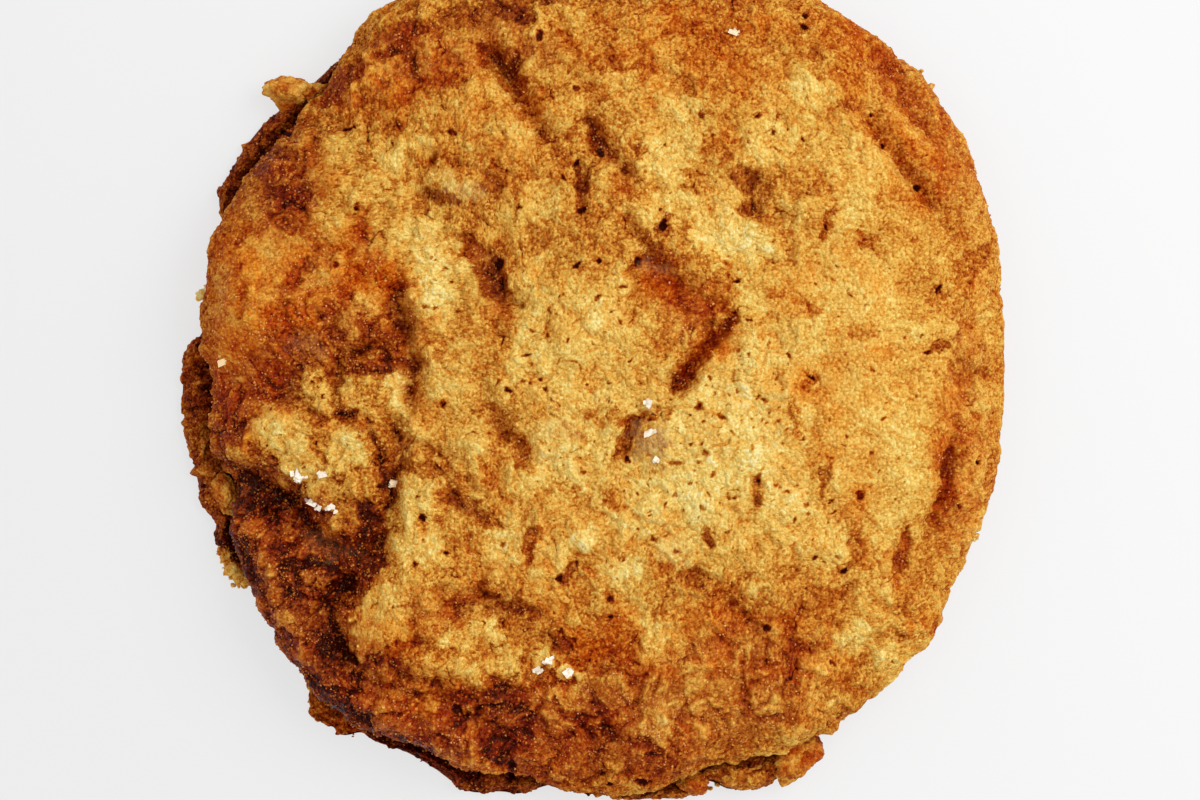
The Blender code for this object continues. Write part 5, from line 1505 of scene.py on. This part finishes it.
@dataclass(frozen=True)
class SeaSalt:
    """Flakes of sea salt, dried from brine: clear crystals, white where light scatters in their cracks."""

    cloud_mm: float = 0.4
    roughness: float = 0.3

    def build(self) -> Finish:
        """Builds the material: white to cream by each flake's dye, clouded by noise."""
        material, tree, shader = new_material("sea_salt_crystal")
        place = add_node(tree, "TexCoord").outputs["Object"]
        cream = add_node(tree, "Attribute", {"attribute_name": "cream"}).outputs["Fac"]
        scale = 1.0 / (self.cloud_mm * MM)
        cloud = add_node(tree, "TexNoise", {"Vector": place, "Scale": scale, "Detail": 3.0})
        stops = ((0.3, Colour.SALT_SHADE), (0.5, Colour.SALT_WHITE))
        clouded = add_node(tree, "ValToRGB", {0: cloud.outputs["Fac"]}, stops).outputs["Color"]
        mixed = add_node(
            tree, "Mix", {"data_type": "RGBA", 0: cream, 6: clouded, 7: linear(Colour.SALT_CREAM)}
        ).outputs[2]
        set_up(tree, shader, {"Base Color": mixed, "Roughness": self.roughness, "IOR": 1.54})
        return material


@dataclass(frozen=True)
class CaramelSugar:
    """Grains of sugar half melted in the caramel: golden to brown crystals that glint faintly; their paler
    colours are partly painted highlight.
    """

    roughness: float = 0.25
    gloss: float = 0.2

    def build(self) -> Finish:
        """Builds the material: caramel-stained crystal, lighter or darker grain by grain, the lighter partly
        painted highlight.
        """
        material, tree, shader = new_material("caramel_stained_sugar")
        stain_and_glint = add_node(tree, "Attribute", {"attribute_name": "stain_and_glint"}).outputs["Fac"]
        stained = add_node(tree, "ValToRGB", {0: stain_and_glint}, (
            (0.0, Colour.GOLDEN), (0.25, Colour.SUGAR), (0.5, Colour.BROWN), (0.85, Colour.CARAMEL),
        )).outputs["Color"]
        set_up(tree, shader, {
            "Base Color": stained, "Roughness": self.roughness, "Specular IOR Level": self.gloss,
        })
        return material


@dataclass(frozen=True)
class SheetCard:
    """Matt white card under the cookie, with a painted glow that keeps its shadows faint."""

    roughness: float = 0.9
    half_width_mm: float = 60.0
    slant: Point = (0.9, 0.45, 0.0)

    def build(self) -> Finish:
        """Builds the material: grey card with a painted glow, brighter to the right where the key light
        falls.
        """
        material, tree, shader = new_material("white_card_painted_glow")
        place = add_node(tree, "TexCoord").outputs["Object"]
        along = add_node(tree, "VectorMath", {"operation": "DOT_PRODUCT", 0: place, 1: self.slant})
        reach = self.half_width_mm * MM
        share = add_node(
            tree, "MapRange", {"Value": along.outputs["Value"], "From Min": -reach, "From Max": reach}
        ).outputs[0]
        stops = ((0.0, Colour.CARD_LEFT), (1.0, Colour.CARD_RIGHT))
        light = add_node(tree, "ValToRGB", {0: share}, stops).outputs["Color"]
        # The emission is painted light: no lamp shines through the card, and its glow fills the shadows on
        # it.
        set_up(tree, shader, {
            "Emission Color": light, "Emission Strength": 1.0, "Base Color": linear(Colour.CARD),
            "Roughness": self.roughness, "Specular IOR Level": 0.0,
        })
        return material


class Tile(Enum):
    """The nine blocks, by row and column, that the cookie's fine surface is stored in."""

    FRONT_LEFT = (0, 0)
    FRONT = (0, 1)
    FRONT_RIGHT = (0, 2)
    LEFT = (1, 0)
    MIDDLE = (1, 1)
    RIGHT = (1, 2)
    BACK_LEFT = (2, 0)
    BACK = (2, 1)
    BACK_RIGHT = (2, 2)


@dataclass(frozen=True)
class Crust:
    """The baked body: crust, side and foot in nine tiles, and the flat underside.

    Attributes:
        turn_up: Height by which the underside's rim turns up inside the foot.
    """

    tile_cells: int = 280
    underside_cells: int = 180
    pit_depth: float = 0.12
    turn_up: float = 0.4

    @property
    def cells(self) -> int:
        """Grid cells along each side of the whole surface."""
        return 3 * self.tile_cells

    def build(self, form: CookieForm, surface: Surface, finish: Finish) -> list[Piece]:
        """Builds the tiles and the underside.

        Args:
            form: The base form, which the underside follows.
            surface: The fine surface to cut into tiles.
            finish: The baked dough's material.

        Returns:
            The pieces.
        """
        spans = [slice(n * self.tile_cells, (n + 1) * self.tile_cells + 1) for n in range(3)]
        pieces = []
        for tile in Tile:
            row, column = tile.value
            names, quads = surface.grid.faces(spans[row], spans[column])
            point_values = {dye: values[names] for dye, values in surface.point_values.items()}
            piece = make_piece(f"crust_{tile.name.lower()}", surface.points[names], quads, point_values, finish)
            piece.data.normals_split_custom_set_from_vertices(surface.normals[names])
            pieces.append(piece)
        pieces.append(self.underside(form, finish))
        for piece in pieces:
            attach(piece, BODY)
            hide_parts(NODE)
        return pieces

    def underside(self, form: CookieForm, finish: Finish) -> Piece:
        """The flat underside: a disc out to the foot's lower edge, with shallow pits from the sheet.

        Its last cells turn up inside the foot, so that no gap shows.

        Args:
            form: The base form whose outline it fills.
            finish: The baked dough's material.

        Returns:
            The piece.
        """
        grid = DiscGrid(self.underside_cells)
        share, bearing = (part.ravel() for part in grid.polar())
        radii, _ = form.side_chain(bearing)
        radius = np.minimum(share * 1.02, 1.0) * (radii[-1] + 0.02)
        angle = np.radians(bearing)
        x, y = radius * np.cos(angle), radius * np.sin(angle)
        pitted = smooth_step(0.2, 0.7, np.abs(sheet_noise(x, y, 2.4, 51)))
        pits = self.pit_depth * pitted * (share < 0.95)
        turned_up = self.turn_up * smooth_step(0.985, 1.0, share)
        points = np.column_stack([x * (1 - 0.01 * (turned_up > 0.1)), y, pits + turned_up])
        names, quads = grid.faces(slice(None), slice(None))
        # The sheet's pits get painted shade through the pore value, as the crust's pores do.
        point_values = {
            "tone": 0.66 + 0.12 * sheet_noise(x, y, 6.0, 52) + 0.1 * smooth_step(0.8, 1.0, share),
            "shine": 0.2, "amber": 0.0, "ash": 0.2, "pore": 2.0 * pits,
            "grain": 0.5, "gap": 1.0, "hollow": 0.5,
        }
        return make_piece("underside", points[names], quads[:, ::-1], point_values, finish)


def icosphere(subdivisions: int) -> tuple[Array, Array]:
    """Points and triangles of a unit icosphere."""
    bm = bmesh.new()
    bmesh.ops.create_icosphere(bm, subdivisions=subdivisions, radius=1.0)
    points = np.array([vertex.co for vertex in bm.verts])
    faces = np.array([[vertex.index for vertex in face.verts] for face in bm.faces])
    bm.free()
    return points, faces


@dataclass(frozen=True)
class CrumbLumps:
    """Lumps of crumb stuck to the foot, and small crumbs at the outline, in one piece.

    Attributes:
        swells: Size, strength and first seed of the noise that swells a lump's radius.
    """

    swells: tuple[tuple[float, float, int], ...] = ((0.9, 0.38, 41), (0.34, 0.2, 141), (0.13, 0.1, 241))
    large: int = 5
    small: int = 3
    tiny: int = 1

    def build(self, finish: Finish) -> Piece:
        """Builds the lumps: each a ball whose radius is swollen by noise and grain.

        Args:
            finish: The baked dough's material.

        Returns:
            The piece.
        """
        balls = {detail: icosphere(detail) for detail in (self.large, self.small, self.tiny)}
        rows = [(self.large, row) for row in CRUMB_LUMPS]
        for x, y, z, half, tone in EDGE_CRUMBS:
            rows.append((self.small, (x, y, z, half, 0.8 * half, 0.8 * half, 40, tone)))
        rows += [(self.tiny, row) for row in self.fringe()]
        places, faces, tones, grains = [], [], [], []
        start = 0
        for number, (detail, (x, y, z, a, b, c, turn, tone)) in enumerate(rows):
            points, triangles = balls[detail]
            swell = 1.0
            for size, strength, seed in self.swells:
                swell = swell + strength * block_noise(points, size, seed + number)
            lump = turned(points * swell[:, None] * np.array([a, b, c]), math.radians(turn))
            lump += np.array([x, y, z])
            lump[:, 2] = np.maximum(lump[:, 2], 0.0)
            places.append(lump)
            faces.append(triangles + start)
            # Each lump's tone runs paler towards its top and darker towards its bottom.
            tones.append(tone - 0.25 * block_noise(points, 0.5, 341 + number) - 0.1 * points[:, 2])
            grains.append(0.5 + 0.5 * block_noise(points, 0.15, 441 + number))
            start += len(points)
        point_values = {
            "tone": np.concatenate(tones), "shine": 0.3, "amber": 0.4, "ash": 0.0, "pore": 0.0,
            "grain": np.concatenate(grains), "gap": 1.0, "hollow": 0.5,
        }
        piece = make_piece("crumb_lumps", hold_in_box(np.vstack(places)), np.vstack(faces), point_values, finish)
        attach(piece, BODY)
        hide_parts(NODE)
        return piece

    def fringe(self) -> list[tuple[float, ...]]:
        """Rows for the crumbs of the ragged fringes, set along each one's bearings at random."""
        rng = np.random.default_rng(17)
        rows = []
        for start, end, reach, height, count, size, tone in FRINGES:
            bearings = rng.uniform(start, end, count) % 360.0
            radii = around(CRUST_EDGE, bearings) + reach + rng.normal(0.0, 0.35 * size, count)
            for angle, radius in zip(np.radians(bearings), radii):
                half = size * rng.uniform(0.35, 1.0) * 0.8
                z = max(height * rng.uniform(0.5, 1.1), 0.8 * half)
                turn = rng.uniform(0, 180)
                width = half * rng.uniform(0.6, 0.9)
                own_tone = tone + rng.uniform(-0.15, 0.15)
                x, y = radius * math.cos(angle), radius * math.sin(angle)
                rows.append((x, y, z, half, width, half * 0.7, turn, own_tone))
        return rows


@dataclass(frozen=True)
class SaltFlakes:
    """Sea salt: each flake is a cluster of small blocks with uneven corners."""

    blocks: int = 5
    first_share: float = 0.75
    other_shares: tuple[float, float] = (0.28, 0.5)
    sunk: float = 0.22

    def build(self, surface: Surface, finish: Finish) -> Piece:
        """Builds the flakes on the crust.

        Args:
            surface: The surface that they lie on.
            finish: The salt's material.

        Returns:
            The piece.
        """
        rng = np.random.default_rng(7)
        corners = np.array([(a, b, c) for a in (-0.5, 0.5) for b in (-0.5, 0.5) for c in (-0.5, 0.5)])
        quads = np.array(
            [(0, 1, 3, 2), (4, 6, 7, 5), (0, 4, 5, 1), (2, 3, 7, 6), (0, 2, 6, 4), (1, 5, 7, 3)]
        )
        places, faces, creams = [], [], []
        for x, y, length, width, thickness, turn, cream in SALT:
            ground = surface.point_at(x, y)
            for number in range(self.blocks):
                share = self.first_share if number == 0 else rng.uniform(*self.other_shares)
                block = corners * (1.0 + rng.uniform(-0.3, 0.12, corners.shape))
                block = block * (np.array([length, width, thickness]) * share)
                spin = math.radians(turn) + (0.0 if number == 0 else rng.uniform(-0.8, 0.8))
                lean, tip = rng.uniform(-0.4, 0.4, 2)
                block[:, 2] += lean * block[:, 0] + tip * block[:, 1]
                aside = np.zeros(2) if number == 0 else rng.uniform(-0.42, 0.42, 2) * (length, width)
                middle = ground + np.array([*aside, self.sunk * thickness])
                faces.append(quads + len(corners) * len(places))
                places.append(turned(block, spin) + middle)
                creams.append(np.full(len(corners), cream))
        point_values = {"cream": np.concatenate(creams)}
        points = hold_in_box(np.vstack(places))
        piece = make_piece("salt_flakes", points, np.vstack(faces), point_values, finish, smooth=False)
        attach(piece, BODY)
        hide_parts(NODE)
        return piece


@dataclass(frozen=True)
class SugarGrains:
    """Grains of sugar half sunk in the caramel: eight-sided crystals with uneven corners.

    Attributes:
        gathering: Power that gathers the grains where the caramel shines most.
    """

    count: int = 8500
    size: float = 0.25
    gathering: float = 1.2
    standing: float = 0.25

    def weights(self, surface: Surface) -> Array:
        """How likely a grain is at each point: by shine in clusters, and a few on brown crust."""
        at, point_values = surface.at, surface.point_values
        cluster = smooth_step(-0.1, 0.6, sheet_noise(at.p, at.q, 2.4, 55))
        weight = point_values["shine"] ** self.gathering * (at.side < 0.8) * (0.15 + cluster)
        weight += (0.02 + 0.2 * smooth_step(0.45, 0.65, point_values["tone"])) * (at.side < 0.02)
        weight *= 1.0 - point_values["pore"]
        return weight / weight.sum()

    def build(self, surface: Surface, finish: Finish) -> Piece:
        """Scatters the grains over the surface, most where it shines.

        Each grain is an octahedron whose corners are pulled about, turned at random.

        Args:
            surface: The surface that they are sunk in.
            finish: The sugar's material.

        Returns:
            The piece.
        """
        rng = np.random.default_rng(23)
        chances = self.weights(surface)
        spots = rng.choice(len(chances), self.count, replace=False, p=chances)
        corners = np.array([(1, 0, 0), (0, 1, 0), (-1, 0, 0), (0, -1, 0), (0, 0, 1), (0, 0, -1)], dtype=float)
        triangles = np.array(
            [(0, 1, 4), (1, 2, 4), (2, 3, 4), (3, 0, 4), (1, 0, 5), (2, 1, 5), (3, 2, 5), (0, 3, 5)]
        )
        shapes = corners[None] * rng.uniform(0.6, 1.15, (self.count, len(corners), 1))
        shapes = shapes + rng.uniform(-0.25, 0.25, shapes.shape)
        turns, _ = np.linalg.qr(rng.normal(size=(self.count, 3, 3)))
        turns *= np.sign(np.linalg.det(turns))[:, None, None]
        sizes = 0.5 * self.size * rng.uniform(0.5, 1.35, (self.count, 1, 1))
        shapes = sizes * np.einsum("nij,nkj->nki", turns, shapes)
        centres = surface.points[spots] + self.standing * sizes[:, 0] * surface.normals[spots]
        points = (shapes + centres[:, None]).reshape(-1, 3)
        points[:, 2] = np.maximum(points[:, 2], 0.0)
        faces = (triangles[None] + len(corners) * np.arange(self.count)[:, None, None]).reshape(-1, 3)
        # Grains are drawn up to half a tone paler than the crust under them: paler sugar, with painted
        # highlight for coloured glints.
        stain_and_glint = np.clip(surface.point_values["tone"][spots] + rng.uniform(-0.5, 0.0, self.count), 0.0, 1.0)
        point_values = {"stain_and_glint": np.repeat(stain_and_glint, len(corners))}
        piece = make_piece("sugar_grains", hold_in_box(points), faces, point_values, finish, smooth=False)
        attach(piece, BODY)
        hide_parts(NODE)
        return piece


@dataclass(frozen=True)
class Studio:
    """Pale floor, soft studio light from the right, and a camera straight above.

    Attributes:
        frame_width: Width of floor that the picture takes in at the outline's height.
        key: Main light's place and width in metres, and its power in watts.
        glint_places: Places in metres of the lamps that only the gloss shows.
    """

    frame_width: float = 120.0
    outline_height: float = 4.4
    lens: float = 200.0
    sensor: float = 36.0
    clip: tuple[float, float] = (0.01, 20.0)
    picture_middle: tuple[float, float] = (1.0, -2.5)
    card_half_width: float = 900.0
    card_drop: float = 0.05
    card_cells: int = 24
    key: tuple[Point, float, float] = ((0.5, 0.25, 0.6), 0.6, 3.7)
    glint_places: tuple[Point, ...] = (
        (0.2, 0.25, 0.6), (0.45, -0.1, 0.5), (-0.25, 0.35, 0.6),
    )
    glint_size: float = 0.25
    glint_power: float = 2.2
    sky_level: float = 0.73

    def build(self, finish: Finish) -> None:
        """Builds the floor, the lights and the camera.

        Args:
            finish: The floor's material.
        """
        self.floor(finish)
        self.light("key", *self.key).visible_glossy = False
        for number, place in enumerate(self.glint_places):
            glint = self.light(f"glint_{number}", place, self.glint_size, self.glint_power)
            glint.data.color = linear(Colour.GLINT)[:3]
            glint.visible_diffuse = False
        self.world()
        self.camera()

    def floor(self, finish: Finish) -> None:
        """A flat square card just under the cookie, well past the picture's edges."""
        line = np.linspace(-self.card_half_width, self.card_half_width, self.card_cells + 1)
        x, y = (part.ravel() for part in np.meshgrid(line, line))
        names, quads = DiscGrid(self.card_cells).faces(slice(None), slice(None))
        points = np.column_stack([x, y, np.full(x.size, -self.card_drop)])[names]
        make_piece("floor_card", points, quads, {}, finish)

    def light(self, name: str, place: Point, size: float, power: float) -> Piece:
        """A square area light that faces the cookie.

        Args:
            name: Name of the light.
            place: Its place in metres.
            size: Its width in metres.
            power: Its power in watts.

        Returns:
            The light's object.
        """
        lamp = bpy.data.lights.new(name, "AREA")
        lamp.size = size
        lamp.energy = power
        holder = bpy.data.objects.new(name, lamp)
        holder.location = place
        holder.rotation_euler = Vector(place).to_track_quat("Z", "Y").to_euler()
        bpy.context.scene.collection.objects.link(holder)
        return holder

    def world(self) -> None:
        """Even pale light from all round."""
        world = bpy.data.worlds.new("studio")
        world.use_nodes = True
        nodes = world.node_tree
        light = {"Color": (1.0, 1.0, 1.0, 1.0), "Strength": self.sky_level}
        set_up(nodes, nodes.nodes["Background"], light)
        world.cycles_visibility.glossy = False
        bpy.context.scene.world = world

    def camera(self) -> None:
        """A long lens straight above the picture's middle."""
        lens = bpy.data.cameras.new("camera")
        lens.lens = self.lens
        lens.sensor_width = self.sensor
        lens.clip_start, lens.clip_end = self.clip
        camera = bpy.data.objects.new("camera", lens)
        distance = self.frame_width * self.lens / self.sensor + self.outline_height
        camera.location = to_frame(np.array([*self.picture_middle, distance]))
        bpy.context.scene.collection.objects.link(camera)
        bpy.context.scene.camera = camera


def main() -> None:
    """Builds the cookie and its studio, and reports each piece."""
    bpy.context.scene.view_settings.view_transform = "Standard"
    Studio().build(SheetCard().build())
    form, crust = CookieForm(), Crust()
    surface = Surface(form, Relief(), BrowningAndShade(), crust.cells)
    dough = BakedDough().build()
    pieces = crust.build(form, surface, dough)
    pieces.append(CrumbLumps().build(dough))
    pieces.append(SaltFlakes().build(surface, SeaSalt().build()))
    pieces.append(SugarGrains().build(surface, CaramelSugar().build()))
    for piece in pieces:
        log.info("%s: %d faces", piece.name, len(piece.data.polygons))


if __name__ == "__main__":
    main()
